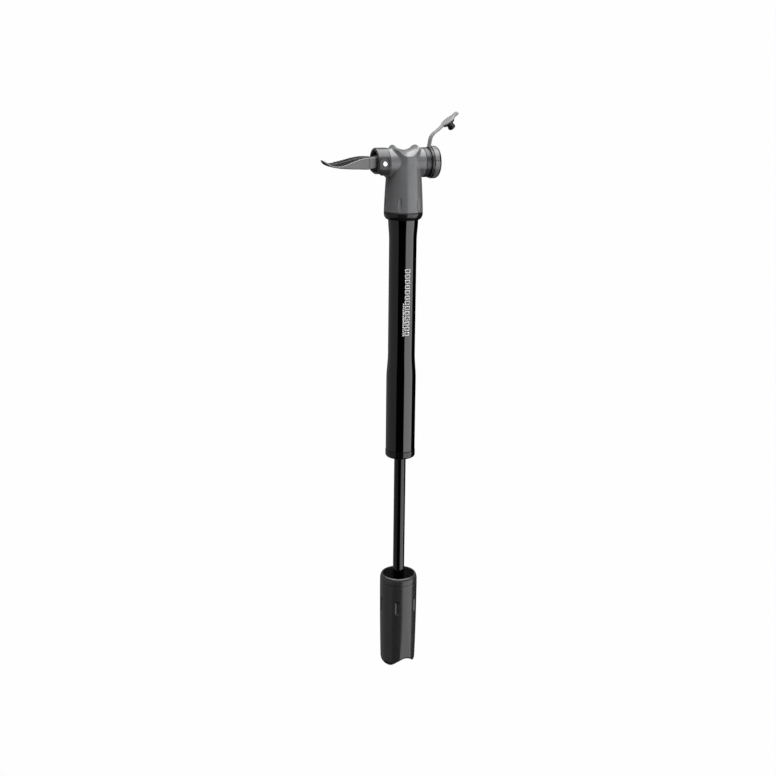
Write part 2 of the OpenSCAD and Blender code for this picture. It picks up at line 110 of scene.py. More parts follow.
@dataclass(frozen=True)
class Finish:
    """A finish of one of the pump's parts.

    Args:
        name: The material's name.
        colour: Linear base colour.
        roughness: Mean roughness.
        metallic: 1 for bare metal.
        specular: Specular level of the shader.
        grain: Direction of the fine pattern.
        grain_mm: Size of the fine pattern in millimetres.
        bump: Strength of the fine pattern.
        mottle: Share by which the colour wanders.
        wear: Share by which edges are lighter.
    """

    name: str
    colour: tuple[float, float, float]
    roughness: float
    metallic: float = 0.0
    specular: float = 0.5
    grain: Grain = Grain.MOULDED
    grain_mm: float = 0.25
    bump: float = 0.06
    mottle: float = 0.08
    wear: float = 0.15

    def material(self) -> bpy.types.Material:
        """Returns this finish's material, made on first use."""
        name = f"{self.name}_finish"
        known = bpy.data.materials.get(name)
        if known is not None:
            return known
        made = bpy.data.materials.new(name)
        made.use_nodes = True
        made.diffuse_color = (*self.colour, 1.0)
        self._wire(made.node_tree)
        return made

    def _wire(self, tree: bpy.types.NodeTree) -> None:
        """Lays out the nodes of the material.

        Args:
            tree: The material's own node tree.
        """
        nodes, links = tree.nodes, tree.links
        shader = nodes["Principled BSDF"]
        shader.inputs["Metallic"].default_value = self.metallic
        shader.inputs["Specular IOR Level"].default_value = self.specular

        def ranged(value: bpy.types.NodeSocket, span: Pair, result: Pair) -> bpy.types.NodeSocket:
            """Maps a value from one range to another.

            Args:
                value: The value.
                span: The range it is read over.
                result: The range it becomes.

            Returns:
                The mapped value.
            """
            node = nodes.new("ShaderNodeMapRange")
            for name, number in zip(("From Min", "From Max", "To Min", "To Max"), (*span, *result)):
                node.inputs[name].default_value = number
            links.new(value, node.inputs["Value"])
            return node.outputs["Result"]

        def noise(vector: bpy.types.NodeSocket, size_mm: float, detail: float) -> bpy.types.NodeSocket:
            """Adds a noise.

            Args:
                vector: Where it is read.
                size_mm: The size of its grains.
                detail: Its finer levels.

            Returns:
                Its strength.
            """
            node = nodes.new("ShaderNodeTexNoise")
            node.inputs["Scale"].default_value = 1 / (size_mm * MM)
            node.inputs["Detail"].default_value = detail
            links.new(vector, node.inputs["Vector"])
            return node.outputs["Fac"]

        place = nodes.new("ShaderNodeTexCoord").outputs["Object"]
        stretch = nodes.new("ShaderNodeMapping")
        stretch.inputs["Scale"].default_value = self.grain.value
        links.new(place, stretch.inputs["Vector"])
        fine = noise(stretch.outputs["Vector"], self.grain_mm, 3.0)
        clouds = noise(place, CLOUD_MM, 4.0)

        base = nodes.new("ShaderNodeVectorMath")
        base.operation = "SCALE"
        base.inputs[0].default_value = self.colour
        links.new(ranged(clouds, (0.3, 0.7), (1 - self.mottle, 1 + self.mottle)), base.inputs["Scale"])

        edges = nodes.new("ShaderNodeNewGeometry").outputs["Pointiness"]
        worn = nodes.new("ShaderNodeMix")
        worn.data_type = "RGBA"
        light = [min(1.0, c * 1.8 + 0.05) for c in self.colour]
        worn.inputs["B"].default_value = (*light, 1.0)
        links.new(ranged(edges, (0.52, 0.62), (0.0, self.wear)), worn.inputs["Factor"])
        links.new(base.outputs["Vector"], worn.inputs["A"])
        links.new(worn.outputs["Result"], shader.inputs["Base Color"])

        gloss = ranged(fine, (0.0, 1.0), (max(0.03, self.roughness * 0.8), min(1.0, self.roughness * 1.2)))
        links.new(gloss, shader.inputs["Roughness"])

        bump = nodes.new("ShaderNodeBump")
        bump.inputs["Strength"].default_value = self.bump
        bump.inputs["Distance"].default_value = 0.1 * MM
        links.new(fine, bump.inputs["Height"])
        links.new(bump.outputs["Normal"], shader.inputs["Normal"])


HEAD_GREY = Finish("head_grey", (0.155, 0.157, 0.162), 0.20, grain_mm=0.35, bump=0.10, mottle=0.05)
COLLAR_DARK = Finish("collar_dark", (0.050, 0.050, 0.052), 0.28, grain_mm=0.4, bump=0.14)
# Dark finish of the head's base ring; on the valve cap's rim it stands for painted shade on the cap's grey.
BASE_DARK_AND_RIM_SHADE = Finish("base_dark", (0.012, 0.012, 0.012), 0.18)
LEVER_GREY = Finish("lever_grey", (0.165, 0.166, 0.170), 0.30, mottle=0.05)
PAD_BLACK = Finish("pad_black", (0.004, 0.004, 0.004), 0.45, grain_mm=0.2, bump=0.15, wear=0.0)
# Dark grey of the neck ring; on the strap's ring it stands for painted shade on the strap's light grey.
NECK_GREY_AND_RING_SHADE = Finish("neck_grey", (0.045, 0.045, 0.047), 0.28)
CAP_GREY = Finish("cap_grey", (0.185, 0.186, 0.190), 0.28, mottle=0.05)
STRAP_GREY = Finish("strap_grey", (0.230, 0.230, 0.235), 0.40, mottle=0.05, bump=0.03, wear=0.0)
SEAL_BLACK = Finish("seal_black", (0.004, 0.004, 0.004), 0.40, grain_mm=0.2, bump=0.12, wear=0.0)
BARREL_BLACK = Finish(
    "barrel_black", (0.001, 0.001, 0.001), 0.065, specular=0.8, grain=Grain.DRAWN, grain_mm=0.3, bump=0.003,
    wear=0.0,
)
CAP_BLACK = Finish(
    "cap_black", (0.003, 0.003, 0.003), 0.14, specular=0.6, grain=Grain.RINGED, grain_mm=0.1, bump=0.01,
    wear=0.0,
)
ROD_BLACK = Finish(
    "rod_black", (0.001, 0.001, 0.001), 0.09, grain=Grain.DRAWN, grain_mm=0.3, bump=0.003, wear=0.0
)
HANDLE_BLACK = Finish("handle_black", (0.028, 0.028, 0.028), 0.24, grain_mm=0.35, bump=0.08, wear=0.02)
STEEL = Finish("steel", (0.75, 0.75, 0.77), 0.18, metallic=1.0, grain_mm=0.1, bump=0.03, wear=0.0)
BRASS = Finish("brass", (0.70, 0.53, 0.22), 0.3, metallic=1.0, grain=Grain.RINGED, grain_mm=0.1, wear=0.0)
NYLON = Finish("bush_nylon", (0.66, 0.64, 0.58), 0.45, mottle=0.04)
PRINT_WHITE = Finish("print_white", (0.78, 0.78, 0.78), 0.5, grain_mm=0.2, bump=0.03, wear=0.0)


# ---------------------------------------------------------------- mesh tools


def new_object(name: str, mesh: bpy.types.Mesh, finish: Finish) -> bpy.types.Object:
    """Puts a mesh in the scene as a smooth-shaded object with one finish.

    Args:
        name: The piece's name.
        mesh: Its mesh, in metres.
        finish: Its finish.

    Returns:
        The new object, at the origin.
    """
    made = bpy.data.objects.new(name, mesh)
    bpy.context.collection.objects.link(made)
    mesh.materials.append(finish.material())
    mesh.polygons.foreach_set("use_smooth", [True] * len(mesh.polygons))
    return made


def mesh_from(points: Array, faces: Iterable[Sequence[int]], name: str) -> bpy.types.Mesh:
    """Makes a clean mesh whose faces point outwards.

    Args:
        points: Vertices in millimetres, one row each.
        faces: Vertex numbers of each face.
        name: The mesh's name.

    Returns:
        The mesh, in metres.
    """
    mesh = bpy.data.meshes.new(name)
    mesh.from_pydata((np.asarray(points) * MM).tolist(), [], [tuple(map(int, f)) for f in faces])
    shape = bmesh.new()
    shape.from_mesh(mesh)
    bmesh.ops.remove_doubles(shape, verts=shape.verts, dist=0.001 * MM)
    bmesh.ops.recalc_face_normals(shape, faces=shape.faces)
    shape.to_mesh(mesh)
    shape.free()
    return mesh


def rounded(corners: Profile, radius: float, steps: int = 4) -> Profile:
    """Rounds every corner of a closed profile and holds its flats with extra points.

    Args:
        corners: The profile's corners.
        radius: Radius of the rounding, cut down where an edge is short.
        steps: Points along each rounded corner.

    Returns:
        The rounded profile.
    """
    points = [Vector(c) for c in corners]
    result: Profile = []
    for i, corner in enumerate(points):
        before, after = points[i - 1] - corner, points[(i + 1) % len(points)] - corner
        reach = min(radius, 0.4 * before.length, 0.4 * after.length)
        start, end = corner + before.normalized() * reach, corner + after.normalized() * reach
        result.append(tuple(start + before.normalized() * reach * 0.2))
        for k in range(steps + 1):
            t = k / steps
            point = start * (1 - t) ** 2 + corner * 2 * t * (1 - t) + end * t**2
            result.append(tuple(point))
        result.append(tuple(end + after.normalized() * reach * 0.2))
    return result


def turned(name: str, profile: Profile, finish: Finish, place: Matrix, sides: int = 128) -> bpy.types.Object:
    """Turns a closed profile of (radius, height) points about an axis.

    Args:
        name: The piece's name.
        profile: The closed outline, in millimetres; points at radius 0 close on the axis.
        finish: The piece's finish.
        place: Takes the turning axis, +Z through the origin, to its place, in millimetres.
        sides: Faces around the axis.

    Returns:
        The turned piece.
    """
    angles = np.arange(sides) * TURN / sides
    rings = [[(max(r, 0.0) * math.cos(a), max(r, 0.0) * math.sin(a), h) for a in angles] for r, h in profile]
    points = np.array(rings).reshape(-1, 3)
    turned_points = points @ np.array(place.to_3x3()).T + np.array(place.translation)
    faces = []
    for i in range(len(profile)):
        j = (i + 1) % len(profile)
        if profile[i][0] <= 0 and profile[j][0] <= 0:
            continue
        for k in range(sides):
            n = (k + 1) % sides
            faces.append((i * sides + k, i * sides + n, j * sides + n, j * sides + k))
    return new_object(name, mesh_from(turned_points, faces, name), finish)


def along_x(z: float) -> Matrix:
    """Place of a turning axis that runs along +X at height z."""
    return Matrix.Translation((0, 0, z)) @ Matrix.Rotation(math.pi / 2, 4, "Y")


def along_z() -> Matrix:
    """Place of the barrel's own axis."""
    return Matrix.Identity(4)


def smooth_max(a: Array, b: Array, blend: float) -> Array:
    """The larger of two distances, rounded where they meet: it carves b's outside from a."""
    near = np.maximum(blend - np.abs(a - b), 0) / blend
    return np.maximum(a, b) + near * near * blend / 4


def smooth_min(a: Array, b: Array, blend: float) -> Array:
    """The smaller of two distances, rounded where they meet: it joins two solids with a fillet."""
    return -smooth_max(-a, -b, blend)


def soft_curve(points: Line, where: Array) -> Array:
    """Height of a smooth curve through points of rising x.

    Args:
        points: Points of the curve.
        where: Places to read it at.

    Returns:
        The heights there.
    """
    xs, ys = np.array(points).T
    slopes = np.gradient(ys, xs)
    i = np.clip(np.searchsorted(xs, where) - 1, 0, len(xs) - 2)
    width = xs[i + 1] - xs[i]
    t = np.clip((where - xs[i]) / width, 0, 1)
    a = (1 + 2 * t) * (1 - t) ** 2 * ys[i] + t * (1 - t) ** 2 * width * slopes[i]
    b = t * t * (3 - 2 * t) * ys[i + 1] + t * t * (t - 1) * width * slopes[i + 1]
    return a + b


def skinned(name: str, shape: Field, low: Sequence[float], high: Sequence[float], step: float, finish: Finish
            ) -> bpy.types.Object:
    """Wraps a mesh of even quads around a solid that is given by its distance field.

    Each cell of a grid that the surface crosses gets one vertex, which is then drawn onto the
    surface, and each grid edge that the surface crosses gets one quad.

    Args:
        name: The piece's name.
        shape: Distance to the surface in millimetres, negative inside.
        low: Lowest corner of the grid.
        high: Highest corner of the grid.
        step: Size of a cell.
        finish: The piece's finish.

    Returns:
        The closed piece.
    """
    axes = [np.arange(low[i] - 1.5 * step, high[i] + 1.5 * step, step) for i in range(3)]
    grid = np.meshgrid(*axes, indexing="ij")
    values = shape(*grid)
    inside = values < 0
    cells = tuple(n - 1 for n in inside.shape)
    count = np.zeros(cells, int)
    total = np.zeros((*cells, 3))
    crossings = np.zeros(cells)
    corners = [(a, b, c) for a in (0, 1) for b in (0, 1) for c in (0, 1)]

    def corner_of(data: Array, at: Sequence[int]) -> Array:
        """The grid's values at one corner of every cell."""
        return data[tuple(slice(o, o + n) for o, n in zip(at, cells))]

    for at in corners:
        count += corner_of(inside, at)
        for axis in range(3):
            if at[axis]:
                continue
            other = list(at)
            other[axis] = 1
            d0, d1 = corner_of(values, at), corner_of(values, other)
            crosses = (d0 < 0) != (d1 < 0)
            share = np.where(crosses, d0 / np.where(crosses, d0 - d1, 1), 0)
            for k in range(3):
                total[..., k] += np.where(crosses, share if k == axis else at[k], 0)
            crossings += crosses
    mixed = (count > 0) & (count < 8)
    number = -np.ones(cells, int)
    number[mixed] = np.arange(mixed.sum())
    start = np.array([a[0] for a in axes])
    points = start + (np.argwhere(mixed) + total[mixed] / crossings[mixed][:, None]) * step
    points = drawn_on(points, shape, step)

    faces = []
    for axis in range(3):
        u, v = [k for k in range(3) if k != axis]
        first = [slice(1, -1)] * 3
        first[axis] = slice(0, -1)
        second = list(first)
        second[axis] = slice(1, None)
        edge = np.argwhere(inside[tuple(first)] != inside[tuple(second)])
        edge[:, u] += 1
        edge[:, v] += 1
        around = []
        for du, dv in ((-1, -1), (0, -1), (0, 0), (-1, 0)):
            cell = edge.copy()
            cell[:, u] += du
            cell[:, v] += dv
            around.append(number[cell[:, 0], cell[:, 1], cell[:, 2]])
        faces.append(np.stack(around, axis=1))
    return new_object(name, mesh_from(points, np.concatenate(faces), name), finish)


def drawn_on(points: Array, shape: Field, step: float) -> Array:
    """Moves points onto a field's surface along its slope.

    Args:
        points: Points near the surface.
        shape: The distance field.
        step: Size of a grid cell, which caps each move.

    Returns:
        The moved points.
    """
    small = 0.02
    for _ in range(3):
        here = shape(*points.T)
        ways = small * np.eye(3)
        rises = [shape(*(points + way).T) - shape(*(points - way).T) for way in ways]
        slope = np.stack(rises, axis=1) / (2 * small)
        scale = np.maximum((slope**2).sum(1), 0.2)
        points = points - slope * np.clip(here / scale, -step / 2, step / 2)[:, None]
    return points


def dimple_depth(x: Array, y: Array, h: Array, width: float, height: float, depth: float, taper: float
                 ) -> Array:
    """Depth of the six dimples around the barrel's axis.

    Args:
        x: Place across.
        y: Place in depth.
        h: Height above the dimples' middle.
        width: Width of a dimple.
        height: Its height.
        depth: Its depth in the middle.
        taper: How much narrower its upper end is.

    Returns:
        The depth, 0 outside the dimples.
    """
    pitch = TURN / 6
    angle = np.arctan2(y, x)
    off = (np.mod(angle / pitch + 0.5, 1) - 0.5) * pitch * np.hypot(x, y)
    half = width / 2 * (1 - taper * np.clip(2 * h / height, -1, 1))
    straight = (height - width) / 2 if taper == 0 else 0.0
    end = np.maximum(np.abs(h) - straight, 0) / (height / 2 - straight)
    reach = (off / half) ** 2 + end**2
    return depth * np.sqrt(np.clip(1 - reach, 0, 1))


# ---------------------------------------------------------------- geometry nodes


class NodeRecipe:
    """A Geometry Nodes tree that is built here, run once and turned into a plain mesh."""

    def __init__(self, name: str) -> None:
        """Starts an empty tree.

        Args:
            name: The tree's name.
        """
        self.tree = bpy.data.node_groups.new(name, "GeometryNodeTree")
        face = self.tree.interface
        face.new_socket("Geometry", in_out="INPUT", socket_type="NodeSocketGeometry")
        face.new_socket("Geometry", in_out="OUTPUT", socket_type="NodeSocketGeometry")
        self.start = self.tree.nodes.new("NodeGroupInput")
        self.end = self.tree.nodes.new("NodeGroupOutput")
        self.sizes: dict[str, tuple[str, float | int]] = {}

    def size(self, name: str, value: float | int) -> bpy.types.NodeSocket:
        """Adds a named input.

        Args:
            name: The input's name.
            value: Its value; a whole number makes an integer input.

        Returns:
            The socket that carries it inside the tree.
        """
        kind = "NodeSocketInt" if isinstance(value, int) else "NodeSocketFloat"
        item = self.tree.interface.new_socket(name, in_out="INPUT", socket_type=kind)
        self.sizes[name] = (item.identifier, value)
        return self.start.outputs[name]

    def add(self, kind: str, inputs: dict[str | int, object] | None = None, **settings: object
            ) -> bpy.types.Node:
        """Adds a node.

        Args:
            kind: The node's type.
            inputs: Values or sockets for its inputs, by name or number.
            settings: Its own settings.

        Returns:
            The node.
        """
        node = self.tree.nodes.new(kind)
        for key, value in settings.items():
            setattr(node, key, value)
        for key, value in (inputs or {}).items():
            if isinstance(value, bpy.types.NodeSocket):
                self.tree.links.new(value, node.inputs[key])
            else:
                node.inputs[key].default_value = value
        return node

    def finish(self, geometry: bpy.types.NodeSocket, finish: Finish) -> None:
        """Ends the tree: instances are made real and given their finish.

        Args:
            geometry: What the tree has made.
            finish: The finish of all of it.
        """
        real = self.add("GeometryNodeRealizeInstances", {"Geometry": geometry})
        dressed = self.add(
            "GeometryNodeSetMaterial", {"Geometry": real.outputs[0], "Material": finish.material()}
        )
        self.tree.links.new(dressed.outputs[0], self.end.inputs[0])

    def run(self, piece: bpy.types.Object) -> bpy.types.Object:
        """Runs the tree on an object and keeps the result as its plain mesh.

        Args:
            piece: The object that goes in.

        Returns:
            The same object, with its new mesh and no modifier.
        """
        modifier = piece.modifiers.new(self.tree.name, "NODES")
        modifier.node_group = self.tree
        for identifier, value in self.sizes.values():
            modifier[identifier] = value
        bpy.context.view_layer.update()
        graph = bpy.context.evaluated_depsgraph_get()
        result = bpy.data.meshes.new_from_object(piece.evaluated_get(graph))
        name = piece.name
        if piece.type == "MESH":
            piece.modifiers.clear()
            piece.data = result
            made = piece
        else:
            bpy.data.objects.remove(piece)
            made = bpy.data.objects.new(name, result)
            bpy.context.collection.objects.link(made)
        made.data.name = name
        made.data.polygons.foreach_set("use_smooth", [True] * len(made.data.polygons))
        return made


def path_object(name: str, points: Iterable[Sequence[float]]) -> bpy.types.Object:
    """Makes a smooth path for a tree to follow.

    Args:
        name: The object's name.
        points: Points of the path, in millimetres.

    Returns:
        A curve object.
    """
    curve = bpy.data.curves.new(name, "CURVE")
    curve.dimensions = "3D"
    points = list(points)
    spline = curve.splines.new("POLY")
    spline.points.add(len(points) - 1)
    for target, point in zip(spline.points, points):
        target.co = (*(Vector(point) * MM), 1.0)
    made = bpy.data.objects.new(name, curve)
    bpy.context.collection.objects.link(made)
    return made


def cut_around(piece: bpy.types.Object, finish: Finish, count: int, place: Matrix, radius: float,
               block: tuple[float, float, float], height: float, first: float) -> bpy.types.Object:
    """Cuts a ring of equal slots into a turned piece.

    Args:
        piece: The piece to cut.
        finish: Its finish.
        count: Number of slots.
        place: The turning axis, in millimetres.
        radius: Distance of the cutters' middle from the axis.
        block: Size of a cutter: radial, tangential and along the axis.
        height: Middle of the cutters along the axis.
        first: Direction of the first slot, in radians.

    Returns:
        The cut piece.
    """
    recipe = NodeRecipe(f"{piece.name}_slots")
    slots = recipe.size("Slots", count)
    reach = recipe.size("Radius", radius * MM)
    circle = recipe.add("GeometryNodeMeshCircle", {"Vertices": slots, "Radius": reach})
    cutter = recipe.add("GeometryNodeMeshCube", {"Size": [s * MM for s in block]})
    spread = recipe.add("GeometryNodeInputIndex")
    step = recipe.add("ShaderNodeMath", {0: TURN, 1: slots}, operation="DIVIDE")
    angle = recipe.add("ShaderNodeMath", {0: spread.outputs[0], 1: step.outputs[0]}, operation="MULTIPLY")
    turn = recipe.add("ShaderNodeCombineXYZ", {"Z": angle.outputs[0]})
    ring = recipe.add(
        "GeometryNodeInstanceOnPoints",
        {"Points": circle.outputs["Mesh"], "Instance": cutter.outputs["Mesh"], "Rotation": turn.outputs[0]},
    )
    real = recipe.add("GeometryNodeRealizeInstances", {"Geometry": ring.outputs[0]})
    local = recipe.add(
        "GeometryNodeTransform",
        {"Geometry": real.outputs[0], "Translation": (0, 0, height * MM), "Rotation": (0, 0, first)},
    )
    placed = recipe.add(
        "GeometryNodeTransform",
        {"Geometry": local.outputs[0], "Translation": place.translation * MM, "Rotation": place.to_euler()},
    )
    cut = recipe.add(
        "GeometryNodeMeshBoolean",
        {"Mesh 1": recipe.start.outputs[0], "Mesh 2": placed.outputs[0]},
        operation="DIFFERENCE",
        solver="EXACT",
    )
    recipe.finish(cut.outputs["Mesh"], finish)
    made = recipe.run(piece)
    made.data.set_sharp_from_angle(angle=math.radians(35))
    return made


# ---------------------------------------------------------------- the pump's datum sizes


@dataclass(frozen=True)
class Datum:
    """Heights and places that every sub-assembly shares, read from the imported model, in millimetres."""

    axis_z: float
    rim_z: float
    ring_z: float
    rim_r: float
    seam_z: float
    cap_foot: float
    tube_r: float
    rod_r: float
    collar_r: float
    collar_open: float
    stub_x: float
    pin_x: float
    cap_r: float
    cap_back: float
    mouth_x: float
    handle_top: float
    handle_foot: float
    lever_tip: float

    @staticmethod
    def read() -> Datum:
        """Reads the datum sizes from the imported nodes' boxes."""

        def edge(node: str, axis: int, top: bool) -> float:
            """One side of a node's box, in millimetres."""
            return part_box(node)[1 if top else 0][axis] / MM

        pin_x = (edge("lever_pin", 0, True) + edge("lever_pin", 0, False)) / 2
        return Datum(
            axis_z=(edge("lever_pin", 2, True) + edge("lever_pin", 2, False)) / 2,
            rim_z=edge("head_base_ring", 2, True),
            ring_z=edge("head_base_ring", 2, False),
            rim_r=edge("head_base_ring", 0, True),
            seam_z=edge("barrel_tube", 2, False),
            cap_foot=edge("end_cap", 2, False),
            tube_r=edge("barrel_tube", 0, True),
            rod_r=edge("piston_rod", 0, True),
            collar_r=edge("lever_collar", 1, True),
            collar_open=edge("lever_collar", 0, False),
            stub_x=edge("lever_collar", 0, True),
            pin_x=pin_x,
            cap_r=edge("valve_cap", 1, True),
            cap_back=edge("valve_cap", 0, False),
            mouth_x=edge("valve_cap", 0, True),
            handle_top=edge("handle_shell", 2, True),
            handle_foot=edge("handle_shell", 2, False),
            lever_tip=edge("thumb_lever", 0, False),
        )


def settle(piece: bpy.types.Object, body: str, slot: str, *nodes: str) -> bpy.types.Object:
    """Makes a piece ride on a body and stand for CAD nodes, and reports it.

    Args:
        piece: The finished piece.
        body: The body that it moves with.
        slot: The record's material slot; not used.
        nodes: The CAD nodes that it stands for.

    Returns:
        The piece.
    """
    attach(piece, body)
    if nodes:
        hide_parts(*nodes)
    LOG.info("%s: %d faces on %s", piece.name, len(piece.data.polygons), body)
    return piece


# ---------------------------------------------------------------- barrel


@dataclass
class Barrel:
    """The anodised tube with its printed marks, and the screwed cap at its foot."""

    datum: Datum
    narrow_r: float = 9.08
    narrow_half: float = 38.0
    taper: float = 18.0
    flare_r: float = 9.84
    bore_r: float = 7.75
    cap_out: float = 0.2
    socket_depth: float = 4.8
    notch_block: tuple[float, float, float] = (2.2, 3.0, 3.2)
    notch_turn: float = math.radians(107)
    mark_turn: float = math.radians(-89)
    mark_top: float = 20.5
    mark_length: float = 45.5

    def build(self) -> None:
        """Makes the tube, its end cap and its marks."""
        settle(self.tube(), "barrel", "barrel_black", "barrel_tube")
        settle(self.end_cap(), "barrel", "cap_black", "end_cap")
        for name, top, count, width, turn in (
            ("barrel_marks_large", self.mark_top, 13, 3.5, 0.0),
            ("barrel_marks_small", self.mark_top - 23.0, 16, 1.0, math.radians(-16)),
        ):
            settle(self.marks(name, top, count, width, turn), "barrel", "barrel_black")

    def tube(self) -> bpy.types.Object:
        """Returns the tube: flared, narrow where a clip holds it, and wide at the foot."""
        d, steps = self.datum, 24
        ease = [(1 - math.cos(math.pi * k / steps)) / 2 for k in range(steps + 1)]
        low, high = -self.narrow_half - self.taper, -self.narrow_half
        foot = [(d.tube_r + (self.narrow_r - d.tube_r) * e, low + (high - low) * k / steps)
                for k, e in enumerate(ease)]
        low, high = self.narrow_half, d.ring_z
        head = [(self.narrow_r + (self.flare_r - self.narrow_r) * e, low + (high - low) * k / steps)
                for k, e in enumerate(ease)]
        edge, top = 0.25, d.rim_z + self.socket_depth
        profile = [
            (self.bore_r, d.seam_z + 0.01), (d.tube_r - edge, d.seam_z + 0.01),
            (d.tube_r - 0.07, d.seam_z + 0.1), (d.tube_r, d.seam_z + edge), (d.tube_r, d.seam_z + 2 * edge),
            *foot, *head, (self.flare_r, top), (self.bore_r, top),
        ]
        return turned("barrel_tube_skin", profile, BARREL_BLACK, along_z(), 160)

    def end_cap(self) -> bpy.types.Object:
        """Returns the end cap, with a rolled foot and two spanner notches."""
        d = self.datum
        out, edge, lip, inner = d.tube_r + self.cap_out, 1.5, d.rod_r + 1.0, self.bore_r - 1.7
        roll = [(out - edge + edge * math.sin(a), d.cap_foot + edge - edge * math.cos(a))
                for a in np.linspace(0, math.pi / 2, 9)]
        profile = [
            (lip, d.cap_foot + 0.3), (lip + 0.3, d.cap_foot), *roll, (out, d.seam_z - 0.3),
            (out - 0.08, d.seam_z - 0.1), (out - 0.3, d.seam_z), (inner, d.seam_z), (inner, d.cap_foot + 2.0),
            (lip, d.cap_foot + 1.2),
        ]
        cap = turned("end_cap_skin", profile, CAP_BLACK, along_z(), 160)
        height = d.cap_foot + self.notch_block[2] / 2
        return cut_around(cap, CAP_BLACK, 2, along_z(), out, self.notch_block, height, self.notch_turn)

    def marks(self, name: str, top: float, count: int, width: float, turn: float) -> bpy.types.Object:
        """Makes a column of plain printed frames.

        Args:
            name: The piece's name.
            top: Height of the column's upper end.
            count: Number of frames.
            width: Width of a frame around the tube.
            turn: Turn of the column from the first one's direction, in radians.

        Returns:
            The frames, a hair proud of the tube.
        """
        bottom = self.mark_top - self.mark_length
        pitch = (top - bottom) / count
        radius = self.narrow_r + 0.02
        angle = self.mark_turn + turn
        recipe = NodeRecipe(name)
        dashes = recipe.size("Marks", count)
        across = recipe.size("Mark width", width * MM)
        along = recipe.size("Mark length", 0.74 * pitch * MM)
        stroke = recipe.size("Stroke", min(0.55, 0.5 * width) * MM)
        dash = recipe.add("GeometryNodeJoinGeometry")
        for axis, reach in (("Y", across), ("Z", along)):
            size = {"X": 0.02 * MM, "Y": across, "Z": along, axis: stroke}
            bar = recipe.add(
                "GeometryNodeMeshCube",
                {"Size": recipe.add("ShaderNodeCombineXYZ", size).outputs[0],
                 "Vertices Y": 9 if axis == "Z" else 2, "Vertices Z": 2},
            )
            room = recipe.add("ShaderNodeMath", {0: reach, 1: stroke}, operation="SUBTRACT")
            half = recipe.add("ShaderNodeMath", {0: room.outputs[0], 1: 0.5}, operation="MULTIPLY")
            back = recipe.add("ShaderNodeMath", {0: half.outputs[0], 1: -1.0}, operation="MULTIPLY")
            for side in (half, back):
                offset = recipe.add("ShaderNodeCombineXYZ", {axis: side.outputs[0]})
                moved = recipe.add(
                    "GeometryNodeTransform",
                    {"Geometry": bar.outputs["Mesh"], "Translation": offset.outputs[0]},
                )
                recipe.tree.links.new(moved.outputs[0], dash.inputs[0])
        line = recipe.add("GeometryNodeResampleCurve", {"Curve": recipe.start.outputs[0], "Count": dashes})
        column = recipe.add(
            "GeometryNodeInstanceOnPoints",
            {"Points": line.outputs[0], "Instance": dash.outputs[0], "Rotation": (0.0, 0.0, angle)},
        )
        recipe.finish(column.outputs[0], PRINT_WHITE)
        way = Vector((math.cos(angle), math.sin(angle), 0)) * radius
        path = path_object(name, [(way.x, way.y, top - pitch / 2), (way.x, way.y, bottom + pitch / 2)])
        made = recipe.run(path)
        self.wrap(made, radius)
        return made

    @staticmethod
    def wrap(piece: bpy.types.Object, radius: float) -> None:
        """Bends flat marks onto the tube.

        Args:
            piece: Marks that touch the tube along a line.
            radius: Radius that they are bent to, in millimetres.
        """
        flat = np.array([v.co for v in piece.data.vertices])
        middle = flat.mean(0)
        middle[2] = 0
        out = middle / np.linalg.norm(middle)
        side = np.array([-out[1], out[0], 0])
        turn = flat @ side / (radius * MM)
        reach = flat @ out
        bent = np.outer(reach * np.cos(turn), out) + np.outer(reach * np.sin(turn), side)
        bent[:, 2] = flat[:, 2]
        piece.data.vertices.foreach_set("co", bent.astype(np.float32).ravel())
        piece.data.update()


# ---------------------------------------------------------------- head


